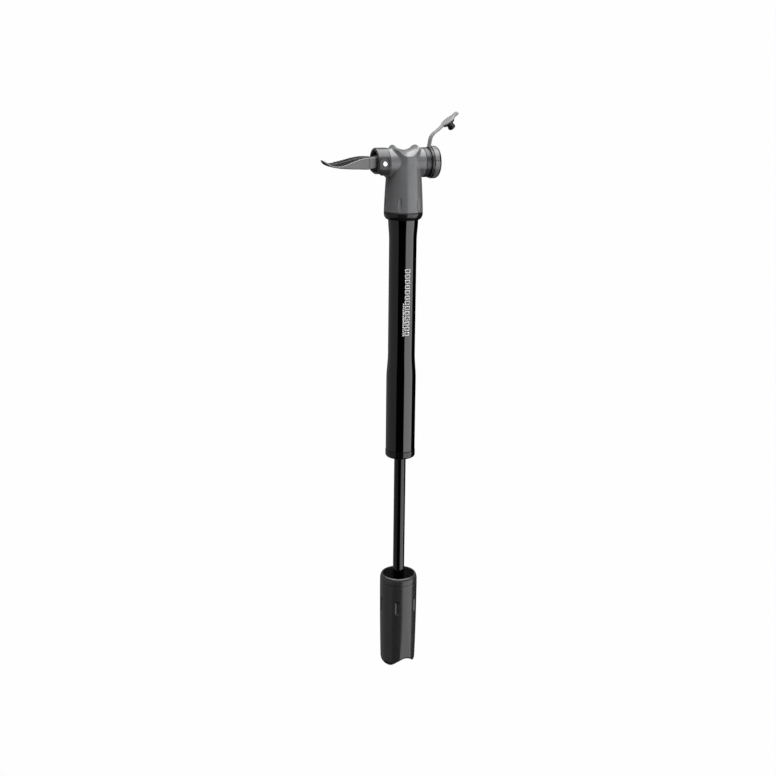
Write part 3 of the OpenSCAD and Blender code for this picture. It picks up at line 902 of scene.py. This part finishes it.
@dataclass
class Head:
    """The moulded head: skirt, column, thumb saddle and stubs, with the rings around them."""

    datum: Datum
    column_r: float = 10.8
    horn_rise: float = 12.3
    horn_x: float = 7.3
    crown_r: float = 10.0
    stub_r: float = 9.4
    nose_r: float = 7.2
    nose_x: float = 21.0
    cross_r: float = 5.6
    socket_r: float = 9.84
    saddle_major: float = 27.6
    saddle_minor: float = 11.1
    saddle_drop: float = 8.3
    skirt_bow: float = 0.465
    dimple_rise: float = 5.4
    dimple: tuple[float, float, float, float] = (2.6, 8.8, 0.6, 0.45)
    step: float = 0.36

    def build(self) -> None:
        """Makes the head and its rings."""
        settle(self.body(), "barrel", "head_grey", "head_body")
        settle(self.base_ring(), "barrel", "base_dark", "head_base_ring")

    def shape(self, x: Array, y: Array, z: Array) -> Array:
        """Distance field of the head.

        Args:
            x: Place along the valve axis.
            y: Place in depth.
            z: Height.

        Returns:
            Distance to its surface, negative inside.
        """
        d = self.datum
        h = z - d.axis_z
        fall = np.clip(-h / (d.axis_z - d.rim_z), 0, 1.1)
        spread = d.rim_r - self.column_r
        around = np.hypot(x, y)
        skirt = around - (self.column_r + spread * ((1 + self.skirt_bow) * fall - self.skirt_bow * fall**2))
        skirt = skirt + dimple_depth(x, y, z - d.rim_z - self.dimple_rise, *self.dimple)
        crown = (h - self.horn_rise + y**2 / (2 * self.crown_r)) * 0.9
        slope = (np.abs(x) - self.horn_x) * 0.72 + crown * 0.69
        column = smooth_max(skirt, smooth_max(crown, slope, 0.6), 0.7)
        column = smooth_max(column, d.rim_z - z, 0.5)
        stub = smooth_max(np.hypot(y, h) - self.stub_r, np.abs(x) - abs(d.stub_x), 0.5)
        solid = smooth_min(column, stub, 0.4)
        arc = np.hypot(y, h + self.saddle_drop)
        bite = np.maximum(np.hypot(arc - self.saddle_major, x) - self.saddle_minor, -h)
        solid = smooth_max(solid, -bite, 0.55)
        nose = smooth_max(np.hypot(y, h) - self.nose_r, np.maximum(x - self.nose_x, -x), 0.4)
        solid = smooth_min(solid, nose, 0.2)
        bore = self.cross_r - np.hypot(y, h)
        solid = np.maximum(solid, bore)
        socket = np.maximum(around - self.socket_r, z - d.rim_z - 5.0)
        return np.maximum(solid, -socket)

    def body(self) -> bpy.types.Object:
        """Returns the head's moulding."""
        d = self.datum
        low = (d.stub_x, -d.rim_r, d.rim_z)
        high = (self.nose_x, d.rim_r, d.axis_z + self.horn_rise)
        return skinned("head_moulding", self.shape, low, high, self.step, HEAD_GREY)

    def base_ring(self) -> bpy.types.Object:
        """Returns the rounded ring at the head's foot."""
        d = self.datum
        wide, tall = 2.9, 4.3
        roll = [(d.rim_r - wide + wide * math.cos(a), d.ring_z + 0.02 + tall * (1 + math.sin(a)))
                for a in np.linspace(math.radians(-88), 0, 16)]
        inner = self.socket_r + 0.02
        profile = [(inner, d.ring_z + 0.02), *roll, (d.rim_r, d.rim_z - 0.25),
                   (d.rim_r - 0.1, d.rim_z - 0.05), (d.rim_r - 0.4, d.rim_z), (inner, d.rim_z)]
        return turned("base_ring_skin", profile, BASE_DARK_AND_RIM_SHADE, along_z(), 160)


# ---------------------------------------------------------------- lever side


@dataclass
class LeverSide:
    """The collar, the steel pin, the thumb lever and its ribbed pad."""

    datum: Datum
    bore_r: float = 7.6
    pin_r: float = 1.5
    recess_r: float = 3.15
    recess_depth: float = 0.55
    slot_half: float = 5.6
    heel: float = 5.1
    hub_half: float = 3.9
    neck_half: float = 5.3
    blade_half: float = 6.0
    wall: float = 1.0
    cam_r: float = 4.5
    cam_offset: tuple[float, float] = (0.75, 1.3)
    foot_line: tuple[tuple[float, float], ...] = (
        (0, -3.1), (5.6, -3.1), (8, -3.5), (16, -3.45), (24, -3.15), (30, -2.6), (34.5, -1.6), (37.4, -0.1),
        (39.6, 2.0),
    )
    edge_line: tuple[tuple[float, float], ...] = (
        (0, 3.85), (6, 3.85), (13, 3.4), (19, 1.7), (24, -0.2), (28, -1.2), (33, -0.95), (36.8, 0.9),
        (39.6, 2.8),
    )
    pad_line: tuple[tuple[float, float], ...] = (
        (6.5, 4.35), (12, 4.3), (18, 3.5), (23.5, 2.2), (28.5, 1.1), (33, 0.4), (36.3, 0.85),
    )
    floor_t: float = 1.15
    pad_from: float = 6.5
    pad_to: float = 37.2
    ribs: int = 9
    rib_height: float = 0.31

    def build(self) -> None:
        """Makes every piece of the lever side."""
        settle(self.collar(), "barrel", "collar_dark", "lever_collar")
        settle(self.pin(), "barrel", "steel", "lever_pin")
        settle(self.lever(), "lever", "lever_grey", "thumb_lever")
        settle(self.pad(), "lever", "pad_black", "lever_pad")
        settle(self.pad_ribs(), "lever", "pad_black")

    def collar(self) -> bpy.types.Object:
        """Returns the collar: a short cup, slotted below, with a recess around each pin end."""
        d = self.datum

        def shape(x: Array, y: Array, z: Array) -> Array:
            """Distance field of the collar.

            Args:
                x: Places along X, in millimetres.
                y: Places along Y.
                z: Heights.

            Returns:
                Below zero inside the collar.
            """
            h = z - d.axis_z
            around = np.hypot(y, h)
            cup = smooth_max(around - d.collar_r, d.collar_open - x, 1.0)
            cup = smooth_max(cup, x - d.stub_x, 0.35)
            cup = smooth_max(cup, self.bore_r - around, 0.5)
            slot = np.maximum(np.abs(y) - self.slot_half, h)
            cup = smooth_max(cup, -slot, 0.5)
            heel = (d.collar_open - self.heel - x - h) * math.sqrt(0.5)
            cup = smooth_max(cup, heel, 0.6)
            pin_way = np.hypot(x - d.pin_x, h)
            recess = smooth_max(pin_way - self.recess_r, d.collar_r - self.recess_depth - np.abs(y), 0.4)
            return smooth_max(cup, -recess, 0.35)

        low = (d.collar_open, -d.collar_r, d.axis_z - d.collar_r)
        high = (d.stub_x, d.collar_r, d.axis_z + d.collar_r)
        return skinned("lever_collar_skin", shape, low, high, 0.28, COLLAR_DARK)

    def pin(self) -> bpy.types.Object:
        """Returns the steel pin, with turned ends."""
        d = self.datum
        half = d.collar_r - 0.25
        ends = [(0.0, -half), (self.pin_r, -half), (self.pin_r, half), (0.0, half)]
        middle = rounded(ends, 0.25)
        profile = [(0.0, -half)] + [p for p in middle if p[0] > 0.3] + [(0.0, half)]
        place = Matrix.Translation((d.pin_x, 0, d.axis_z)) @ Matrix.Rotation(math.pi / 2, 4, "X")
        return turned("lever_pin_skin", profile, STEEL, place, 64)

    def half_width(self, u: Array) -> Array:
        """Half the lever's width at a distance from its pin.

        Args:
            u: Distances from the pin, towards the tip.

        Returns:
            The half widths there.
        """
        plan = [(0, self.hub_half), (4.0, self.hub_half), (4.8, self.neck_half), (8.8, self.neck_half),
                (10.2, self.blade_half), (20, self.blade_half), (35, self.blade_half - 0.6),
                (60, self.blade_half - 1.5)]
        return np.interp(u, *np.array(plan).T)

    def outline(self, x: Array, y: Array, z: Array) -> tuple[Array, Array, Array]:
        """Shared measures of the lever's blade.

        Args:
            x: Place along the lever.
            y: Place across it.
            z: Height.

        Returns:
            Distance out from the pin, height above the valve axis, and distance to the blade's outer walls.
        """
        d = self.datum
        u, h = d.pin_x - x, z - d.axis_z
        tip = d.pin_x - d.lever_tip
        corner = 4.2
        width = self.half_width(u)
        nose_u = np.maximum(u - (tip - corner), 0)
        nose_y = np.maximum(np.abs(y) - (width - corner), 0)
        sides = np.where(nose_u > 0, np.hypot(nose_u, nose_y) - corner, np.abs(y) - width)
        return u, h, sides

    def lever(self) -> bpy.types.Object:
        """Returns the lever: cam boss, side plates and curled tip, hollow for its pad."""
        d = self.datum

        def shape(x: Array, y: Array, z: Array) -> Array:
            """Distance field of the lever.

            Args:
                x: Places along X, in millimetres.
                y: Places along Y.
                z: Heights.

            Returns:
                Below zero inside the lever.
            """
            u, h, sides = self.outline(x, y, z)
            under = (soft_curve(self.foot_line, u) - h) * 0.95
            over = (h - soft_curve(self.edge_line, u)) * 0.9
            blade = smooth_max(smooth_max(under, over, 0.25), sides, 0.8)
            blade = np.maximum(blade, -u)
            cam = np.hypot(x - d.pin_x - self.cam_offset[0], h - self.cam_offset[1]) - self.cam_r
            cam = smooth_max(cam, np.abs(y) - self.hub_half, 0.4)
            solid = np.minimum(blade, cam)
            floor = soft_curve([(a, b + self.floor_t) for a, b in self.foot_line], u) - h
            hollow = np.maximum(np.maximum(sides + self.wall, floor), self.pad_from - u)
            solid = smooth_max(solid, -hollow, 0.3)
            return np.maximum(solid, self.pin_r + 0.03 - np.hypot(x - d.pin_x, h))

        low = (d.lever_tip, -self.blade_half, d.axis_z - 4.5)
        high = (d.pin_x + 6, self.blade_half, d.axis_z + 6.5)
        return skinned("thumb_lever_skin", shape, low, high, 0.26, LEVER_GREY)

    def pad(self) -> bpy.types.Object:
        """Returns the thumb pad, dished from side to side."""
        d = self.datum

        def shape(x: Array, y: Array, z: Array) -> Array:
            """Distance field of the pad.

            Args:
                x: Places along X, in millimetres.
                y: Places along Y.
                z: Heights.

            Returns:
                Below zero inside the pad.
            """
            u, h, sides = self.outline(x, y, z)
            dish = 0.35 * (1 - np.clip(y / (self.blade_half - self.wall), -1, 1) ** 2)
            over = (h - soft_curve(self.pad_line, u) + dish) * 0.95
            under = soft_curve([(a, b + self.floor_t + 0.05) for a, b in self.foot_line], u) - h
            solid = smooth_max(smooth_max(over, sides + self.wall + 0.03, 0.7), under, 0.2)
            return smooth_max(solid, np.maximum(self.pad_from + 0.05 - u, u - self.pad_to), 0.4)

        low = (d.pin_x - self.pad_to - 0.2, -self.blade_half, d.axis_z - 3)
        high = (d.pin_x - self.pad_from + 0.1, self.blade_half, d.axis_z + 4.6)
        return skinned("lever_pad_skin", shape, low, high, 0.28, PAD_BLACK)

    def pad_ribs(self) -> bpy.types.Object:
        """Returns the grip ribs that cross the pad, spaced along its upper line."""
        d = self.datum
        recipe = NodeRecipe("pad_ribs")
        count = recipe.size("Ribs", self.ribs)
        height = recipe.size("Rib height", self.rib_height * MM)
        path = recipe.add("GeometryNodeResampleCurve", {"Curve": recipe.start.outputs[0], "Count": count})
        rib = recipe.add(
            "GeometryNodeMeshCylinder",
            {"Vertices": 16, "Radius": height, "Depth": (2 * (self.blade_half - self.wall) - 1.2) * MM},
        )
        row = recipe.add(
            "GeometryNodeInstanceOnPoints",
            {"Points": path.outputs[0], "Instance": rib.outputs["Mesh"], "Rotation": (TURN / 4, 0.0, 0.0)},
        )
        recipe.finish(row.outputs[0], PAD_BLACK)
        us = np.linspace(13.5, 29.5, 24)
        heights = soft_curve(self.pad_line, us) - 0.22
        points = [(d.pin_x - u, 0.0, d.axis_z + h) for u, h in zip(us, heights)]
        return recipe.run(path_object("lever_pad_ribs", points))


# ---------------------------------------------------------------- valve side


@dataclass
class ValveSide:
    """The rings, cap and gasket of the valve mouth, and the dust strap with its plug."""

    datum: Datum
    nose_r: float = 7.2
    ring_r: float = 9.5
    ring_end: float = 15.1
    seal_r: float = 9.0
    seal_end: float = 16.4
    mouth_r: float = 4.5
    nose_x: float = 21.0
    strap_half: float = 2.4
    strap_t: float = 1.2
    path: tuple[tuple[float, float], ...] = (
        (17.2, 9.4), (17.4, 10.7), (17.6, 12.0), (18.0, 14.32), (18.6, 16.1), (20.3, 18.2), (23.15, 20.3),
        (26.5, 23.0), (30.0, 25.9), (33.3, 28.6), (36.5, 31.2),
    )
    meet_at: Pair = (19.4, 17.25)
    rim_t: float = 1.4
    line_turn: float = math.radians(-9)
    disc_r: float = 5.4
    disc_at: Pair = (30.0, 25.9)
    plug_turn: float = math.radians(51.5)
    plug_base: float = 1.2

    def build(self) -> None:
        """Makes every piece of the valve side."""
        settle(self.neck_ring(), "barrel", "neck_grey", "neck_ring")
        settle(self.groove_seal(), "barrel", "seal_black", "groove_seal")
        # The strap's ring takes the dark neck finish as painted shade.
        settle(self.strap_ring(), "barrel", "strap_grey", "strap_ring")
        settle(self.cap(), "valve_cap", "cap_grey", "valve_cap")
        # The cap's rim takes a dark finish as painted shade.
        settle(self.cap_rim_shade(), "valve_cap", "cap_grey")
        settle(self.gasket(), "barrel", "seal_black", "valve_gasket")
        self.strap()
        settle(self.plug(), "dust_cap", "seal_black", "dust_plug")

    def ring(self, name: str, outer: float, start: float, end: float, edge: float, finish: Finish
             ) -> bpy.types.Object:
        """Turns a plain ring with rounded edges that sits on the head's nose.

        Args:
            name: The ring's name.
            outer: Its outer radius.
            start: Where it starts along X.
            end: Where it ends.
            edge: Radius of its edges.
            finish: Its finish.

        Returns:
            The ring.
        """
        corners = [(self.nose_r, start), (outer, start), (outer, end), (self.nose_r, end)]
        return turned(name, rounded(corners, edge), finish, along_x(self.datum.axis_z))

    def neck_ring(self) -> bpy.types.Object:
        """Returns the dark ring next to the head."""
        return self.ring("neck_ring_skin", self.ring_r, -self.datum.stub_x, self.ring_end, 0.3, NECK_GREY_AND_RING_SHADE)

    def groove_seal(self) -> bpy.types.Object:
        """Returns the black ring behind the strap's ring."""
        return self.ring("groove_seal_skin", self.seal_r, self.ring_end, self.seal_end, 0.4, SEAL_BLACK)

    def strap_ring(self) -> bpy.types.Object:
        """Returns the ring that holds the strap, in the neck's dark grey as painted shade: the ring is of the
        strap's light grey and lies in shadow.
        """
        return self.ring("strap_ring_skin", self.ring_r + 0.4, self.seal_end, 17.95, 0.35, NECK_GREY_AND_RING_SHADE)

    def cap(self) -> bpy.types.Object:
        """Returns the valve cap, with a step for its rim and four finger lines."""
        d = self.datum
        inner, step_r, step_x = self.nose_r + 0.05, d.cap_r - 1.6, d.mouth_x - self.rim_t
        corners = [(inner, d.cap_back), (d.cap_r, d.cap_back), (d.cap_r, step_x), (step_r, step_x),
                   (step_r, d.mouth_x), (self.mouth_r + 0.6, d.mouth_x), (self.mouth_r, d.mouth_x - 0.6),
                   (self.mouth_r, self.nose_x + 0.05), (inner, self.nose_x + 0.05)]
        place = along_x(d.axis_z)
        cap = turned("valve_cap_skin", rounded(corners, 0.22), CAP_GREY, place, 160)
        return cut_around(cap, CAP_GREY, 4, place, d.cap_r, (0.6, 0.45, 3.6), d.mouth_x - 2.9, self.line_turn)

    def cap_rim_shade(self) -> bpy.types.Object:
        """Returns the chamfered rim around the cap's mouth, coloured dark as painted shade on the cap's own
        grey.
        """
        d = self.datum
        inner, outer = d.cap_r - 1.58, d.cap_r - 0.15
        back, front = d.mouth_x - self.rim_t + 0.02, d.mouth_x - 0.05
        corners = [(inner, back), (outer, back), (outer, d.mouth_x - 0.8), (d.cap_r - 0.8, front),
                   (inner, front)]
        return turned("valve_cap_rim", rounded(corners, 0.15), BASE_DARK_AND_RIM_SHADE, along_x(d.axis_z), 160)

    def gasket(self) -> bpy.types.Object:
        """Returns the rubber gasket, with a lead-in at its mouth."""
        corners = [(3.0, 8.1), (5.55, 8.1), (5.55, self.nose_x), (3.8, self.nose_x), (3.0, self.nose_x - 1.0)]
        place = along_x(self.datum.axis_z)
        return turned("valve_gasket_skin", rounded(corners, 0.25), SEAL_BLACK, place, 96)

    def strap_points(self) -> tuple[Array, Array, Array, Array]:
        """Samples the strap's middle line.

        Returns:
            Distances along it, its points, their directions and their normals, in the XZ plane.
        """
        coarse = np.array(self.path)
        length = np.concatenate([[0], np.cumsum(np.linalg.norm(np.diff(coarse, axis=0), axis=1))])
        s = np.linspace(0, length[-1], 240)
        line = np.stack([soft_curve(list(zip(length, coarse[:, k])), s) for k in (0, 1)], axis=1)
        way = np.gradient(line, axis=0)
        way /= np.linalg.norm(way, axis=1)[:, None]
        return s, line, way, np.stack([-way[:, 1], way[:, 0]], axis=1)

    def strap(self) -> None:
        """Makes the strap in two lengths that meet between its folds."""
        s, line, way, normal = self.strap_points()
        place = int(np.argmin(np.linalg.norm(line - np.array(self.disc_at), axis=1)))
        reach = np.clip(self.disc_r**2 - (s - s[place]) ** 2, 0, None) ** 0.5
        after = s > s[place]
        half = np.maximum(reach, self.strap_half + np.where(after, 0.25, 0))
        tab = np.clip((s[-1] - s) / 0.9, 0, 1)
        half = half - np.where(s > s[-1] - 0.9, 0.5 * (1 - tab) ** 2, 0)
        thick = self.strap_t + 0.45 * np.clip((s - s[place] + 6) / 6, 0, 1)
        middle = int(np.argmin(np.linalg.norm(line - np.array(self.meet_at), axis=1)))
        lower = self.band("strap_lower", line[: middle + 1], normal[: middle + 1], half[: middle + 1], thick)
        upper = self.band("strap_upper", line[middle:], normal[middle:], half[middle:], thick[middle:])
        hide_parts("strap_link")
        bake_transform(lower)
        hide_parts("dust_cap")
        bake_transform(upper)
        LOG.info("strap: %d faces", len(lower.data.polygons) + len(upper.data.polygons))

    def band(self, name: str, line: Array, normal: Array, half: Array, thick: Array) -> bpy.types.Object:
        """Sweeps a rounded band along the strap's line.

        Args:
            name: The piece's name.
            line: Points of the line.
            normal: Normals there.
            half: Half widths there.
            thick: Thicknesses there.

        Returns:
            The band, closed at both ends.
        """
        around = 28
        angles = np.arange(around) * TURN / around
        power = 0.45
        across = np.sign(np.cos(angles)) * np.abs(np.cos(angles)) ** power
        through = np.sign(np.sin(angles)) * np.abs(np.sin(angles)) ** power
        points = []
        for k in range(len(line)):
            t = thick[k] / 2
            edge = min(half[k], 1.0)
            y = across * (half[k] - edge) + np.cos(angles) * edge * np.abs(np.cos(angles)) ** (power - 1)
            centre = line[k][None, :] + np.outer(through * t, normal[k])
            points.append(np.stack([centre[:, 0], y, centre[:, 1] + self.datum.axis_z], axis=1))
        rings = np.concatenate(points)
        faces = [(k * around + i, k * around + (i + 1) % around, (k + 1) * around + (i + 1) % around,
                  (k + 1) * around + i) for k in range(len(line) - 1) for i in range(around)]
        faces.append(tuple(range(around))[::-1])
        faces.append(tuple((len(line) - 1) * around + i for i in range(around)))
        made = new_object(name, mesh_from(rings, faces, name), STRAP_GREY)
        made.data.set_sharp_from_angle(angle=math.radians(50))
        return made

    def plug(self) -> bpy.types.Object:
        """Returns the rubber dust plug under the disc, with its thin flange and round nose."""
        back, nose = -0.6, 4.8
        corners = [(3.2, back), (4.0, 0.05), (4.0, 0.7), (2.4, 0.95), (2.15, 1.7), (2.15, 2.3), (2.45, 2.9),
                   (2.45, 4.0), (1.9, nose)]
        body = rounded([(0.0, back), *corners, (0.0, nose)], 0.35)
        profile = [(0.0, back)] + [p for p in body if p[0] > 0.4] + [(0.0, nose)]
        way = Matrix.Rotation(math.pi / 2 + self.plug_turn, 4, "Y")
        base = Vector((self.disc_at[0], 0, self.datum.axis_z + self.disc_at[1]))
        place = Matrix.Translation(base) @ way @ Matrix.Translation((0, 0, self.plug_base))
        return turned("dust_plug_skin", profile, SEAL_BLACK, place, 64)


# ---------------------------------------------------------------- handle


@dataclass
class Handle:
    """The sleeve handle and the piston rod."""

    datum: Datum
    mouth_out: float = 13.15
    tail_out: float = 12.2
    sleeve_r: float = 11.0
    floor_h: float = 56.0
    notch_depth: float = 6.6
    notch_half: float = 8.5
    foot_edge: float = 3.4
    flat_from: float = 33.0
    flat_tilt: float = math.radians(2.4)
    floor_t: float = 1.6
    screw_r: float = 3.9
    dimple_drop: float = 22.3
    dimple: tuple[float, float, float, float] = (3.0, 10.5, 0.65, 0.0)
    roll: Pair = (1.7, 4.8)
    turn: float = 7.0
    step: float = 0.38

    def build(self) -> None:
        """Makes the handle's shell and the rod."""
        settle(self.shell(), "handle", "handle_black", "handle_shell")
        settle(self.rod(), "handle", "rod_black", "piston_rod")

    def shape(self, x: Array, y: Array, z: Array) -> Array:
        """Distance field of the shell.

        Args:
            x: Place across.
            y: Place in depth.
            z: Height.

        Returns:
            Distance to its surface, negative inside.
        """
        d = self.datum
        turn = math.radians(self.turn)
        x, y = x * math.cos(turn) + y * math.sin(turn), y * math.cos(turn) - x * math.sin(turn)
        h = d.handle_top - z
        length = d.handle_top - d.handle_foot
        share = np.clip(h / length, 0, 1)
        around = np.hypot(x, y)
        radius = self.mouth_out - (self.mouth_out - self.tail_out) * share**2.2
        lift = np.clip(1 - h / self.roll[1], 0, 1)
        radius = radius - self.roll[0] * (1 - np.sqrt(1 - 0.995 * lift**2))
        groove = 0.15 * np.exp(-(((h - self.roll[1] - 0.7) / 0.5) ** 2))
        outer = (around - radius) * np.where(lift > 0.4, 0.8, 1.0) + groove
        outer = outer + dimple_depth(x, y, self.dimple_drop - h, *self.dimple)
        flat = np.abs(y) - (self.mouth_out - 0.1 - math.tan(self.flat_tilt) * (h - self.flat_from))
        outer = smooth_max(outer, flat, 0.25)
        outer = smooth_max(outer, -h, 0.5)
        outer = smooth_max(outer, h - length, 1.6 * self.foot_edge)
        notch_r = (self.notch_half**2 + self.notch_depth**2) / (2 * self.notch_depth)
        notch = np.hypot(x, h - (length - self.notch_depth + notch_r)) - notch_r
        outer = smooth_max(outer, -notch, 1.6)
        hollow = np.maximum(around - self.sleeve_r, h - self.floor_h)
        outer = smooth_max(outer, -hollow, 0.5)
        seat = np.maximum(around - d.rod_r, h - self.floor_h - self.floor_t)
        outer = np.maximum(outer, -seat)
        screw = np.maximum(around - self.screw_r, length - self.notch_depth - 1.8 - h)
        return smooth_max(outer, -screw, 0.4)

    def shell(self) -> bpy.types.Object:
        """Returns the handle's shell."""
        d = self.datum
        low = (-self.mouth_out, -self.mouth_out, d.handle_foot)
        high = (self.mouth_out, self.mouth_out, d.handle_top)
        return skinned("handle_shell_skin", self.shape, low, high, self.step, HANDLE_BLACK)

    def rod(self) -> bpy.types.Object:
        """Returns the rod, with its neck inside the piston."""
        d = self.datum
        foot, top = (corner.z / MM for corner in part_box("piston_rod"))
        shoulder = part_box("piston_head")[0].z / MM - 0.05
        r, neck, bore = d.rod_r, 2.95, 2.0
        profile = [(bore, foot), (r - 0.3, foot), (r, foot + 0.3), (r, foot + 1), (r, shoulder - 1),
                   (r, shoulder - 0.3), (r - 0.3, shoulder), (neck, shoulder), (neck, top - 0.4),
                   (neck - 0.4, top), (0.0, top), (0.0, foot + 10), (bore, foot + 10)]
        return turned("piston_rod_skin", profile, ROD_BLACK, along_z(), 96)


# ---------------------------------------------------------------- parts that keep their CAD shape


def dress_inner_parts(frame: dict) -> None:
    """Gives every CAD part that stays shown its finish.
    """
    finishes = {
        STEEL: ("check_spring", "rod_washer", "rod_nut", "floor_washer", "rod_screw"),
        BRASS: ("check_seat", "check_poppet", "core_pin"),
        NYLON: ("shaft_bush", "cam_plunger", "piston_head"),
        SEAL_BLACK: ("wiper_seal", "stop_bumper", "barrel_seal", "plunger_seal", "piston_seal"),
    }
    for finish, names in finishes.items():
        for name in names:
            mesh = frame["nodes"][name].data
            mesh.materials.clear()
            mesh.materials.append(finish.material())
            LOG.info("%s keeps its CAD shape, in %s", name, finish.name)


# ---------------------------------------------------------------- studio


@dataclass(frozen=True)
class Panel:
    """A tall soft panel of the studio, which the pump sees from wherever it is.

    Args:
        turn: Direction of its middle, in degrees round from +X.
        half: Half its width, in degrees.
        soft: Width of its soft edges, in degrees.
        low: Elevation of its foot, in degrees.
        high: Elevation of its top.
        strength: Its brightness.
    """

    turn: float
    half: float
    soft: float
    low: float
    high: float
    strength: float


@dataclass
class Studio:
    """A plain pale floor, soft light and the camera."""

    azimuth: float = -21.5
    pitch: float = 15.65
    distance: float = 0.725
    height: float = 0.1401
    yaw: float = 0.695
    roll: float = 0.58
    lens: float = 51.26
    panels: tuple[Panel, ...] = (
        Panel(-50.0, 35.0, 2.0, -40.0, 8.0, 2.1),
        Panel(-203.0, 56.0, 2.0, -40.0, 8.0, 0.28),
        Panel(0.0, 181.0, 1.0, 48.0, 120.0, 5.2),
    )
    rise_soft: float = 8.0

    def build(self) -> None:
        """Makes the studio."""
        self.floor()
        self.world()
        self.camera()
        look = bpy.context.scene.view_settings
        look.view_transform = "Standard"
        look.look = "None"

    def floor(self) -> None:
        """Lays a pale floor under the pump, which only the camera sees."""
        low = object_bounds()[0].z - 0.004
        half = 6.0
        corners = [(-half, -half, low), (half, -half, low), (half, half, low), (-half, half, low)]
        mesh = bpy.data.meshes.new("floor")
        mesh.from_pydata(corners, [], [(0, 1, 2, 3)])
        floor = bpy.data.objects.new("floor", mesh)
        bpy.context.collection.objects.link(floor)
        pale = bpy.data.materials.new("pale_floor")
        pale.use_nodes = True
        nodes, links = pale.node_tree.nodes, pale.node_tree.links
        glow = nodes.new("ShaderNodeEmission")
        glow.inputs["Color"].default_value = WHITE
        mix = nodes.new("ShaderNodeMixShader")
        links.new(nodes.new("ShaderNodeLightPath").outputs["Is Camera Ray"], mix.inputs["Fac"])
        links.new(nodes.new("ShaderNodeBsdfTransparent").outputs[0], mix.inputs[1])
        links.new(glow.outputs[0], mix.inputs[2])
        links.new(mix.outputs[0], nodes["Material Output"].inputs["Surface"])
        mesh.materials.append(pale)
        floor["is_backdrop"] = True

    def world(self) -> None:
        """Makes the room: white to look at, and lit by its panels."""
        world = bpy.data.worlds.new("studio")
        bpy.context.scene.world = world
        world.use_nodes = True
        tree = world.node_tree

        def math_node(operation: str, *values: float | bpy.types.NodeSocket) -> bpy.types.NodeSocket:
            """Adds a sum to the room's nodes.

            Args:
                operation: What is done with the values.
                *values: Numbers, or the sockets that give them.

            Returns:
                The sum's result.
            """
            node = tree.nodes.new("ShaderNodeMath")
            node.operation = operation
            for i, value in enumerate(values):
                if isinstance(value, bpy.types.NodeSocket):
                    tree.links.new(value, node.inputs[i])
                else:
                    node.inputs[i].default_value = value
            return node.outputs[0]

        def inside(value: bpy.types.NodeSocket, edge: float, soft: float) -> bpy.types.NodeSocket:
            """Adds a soft step: 1 where the value is below the edge, 0 past its soft margin.

            Args:
                value: The value.
                edge: Where the step's middle is.
                soft: Its margin on either side.

            Returns:
                The step's height.
            """
            step = tree.nodes.new("ShaderNodeMapRange")
            step.interpolation_type = "SMOOTHSTEP"
            ends = {"From Min": edge - soft, "From Max": edge + soft, "To Min": 1, "To Max": 0}
            for name, number in ends.items():
                step.inputs[name].default_value = number
            tree.links.new(value, step.inputs["Value"])
            return step.outputs["Result"]

        way = tree.nodes.new("ShaderNodeSeparateXYZ")
        tree.links.new(tree.nodes.new("ShaderNodeTexCoord").outputs["Generated"], way.inputs[0])
        turn = math_node("DEGREES", math_node("ARCTAN2", way.outputs["Y"], way.outputs["X"]))
        rise = math_node("DEGREES", math_node("ARCSINE", way.outputs["Z"]))
        light: float | bpy.types.NodeSocket = 0.0
        for panel in self.panels:
            past = math_node("WRAP", math_node("SUBTRACT", turn, panel.turn), 180.0, -180.0)
            off = math_node("ABSOLUTE", past)
            across = inside(off, panel.half, panel.soft)
            middle, half = (panel.low + panel.high) / 2, (panel.high - panel.low) / 2
            up = inside(math_node("ABSOLUTE", math_node("SUBTRACT", rise, middle)), half, self.rise_soft)
            share = math_node("MULTIPLY", across, up)
            light = math_node("ADD", light, math_node("MULTIPLY", share, panel.strength))
        room = tree.nodes["Background"]
        tree.links.new(light, room.inputs["Strength"])
        bright = tree.nodes.new("ShaderNodeBackground")
        bright.inputs["Color"].default_value = WHITE
        room.inputs["Color"].default_value = (1, 1, 1, 1)
        mix = tree.nodes.new("ShaderNodeMixShader")
        tree.links.new(tree.nodes.new("ShaderNodeLightPath").outputs["Is Camera Ray"], mix.inputs["Fac"])
        tree.links.new(room.outputs[0], mix.inputs[1])
        tree.links.new(bright.outputs[0], mix.inputs[2])
        tree.links.new(mix.outputs[0], tree.nodes["World Output"].inputs["Surface"])

    def camera(self) -> None:
        """Places the camera in front of the pump, a little to its lever side and above it."""
        data = bpy.data.cameras.new("camera")
        data.lens, data.sensor_width = self.lens, 36.0
        data.clip_start, data.clip_end = 0.01, 50.0
        camera = bpy.data.objects.new("camera", data)
        bpy.context.collection.objects.link(camera)
        a, e = math.radians(self.azimuth), math.radians(self.pitch)
        camera.location = (self.distance * math.sin(a), -self.distance * math.cos(a), self.height)
        heading = a + math.radians(self.yaw)
        tilt = Matrix.Rotation(heading, 3, "Z") @ Matrix.Rotation(math.pi / 2 - e, 3, "X")
        camera.rotation_euler = (tilt @ Matrix.Rotation(math.radians(self.roll), 3, "Z")).to_euler()
        bpy.context.scene.camera = camera


# ---------------------------------------------------------------- the whole pump


def main() -> None:
    """Builds the pump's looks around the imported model."""
    logging.basicConfig(level=logging.INFO, format="%(message)s")
    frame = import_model()
    datum = Datum.read()
    Studio().build()
    for assembly in (Barrel(datum), Head(datum), LeverSide(datum), ValveSide(datum), Handle(datum)):
        assembly.build()
        LOG.info("%s is built", type(assembly).__name__)
    dress_inner_parts(frame)


if __name__ == "__main__":
    main()
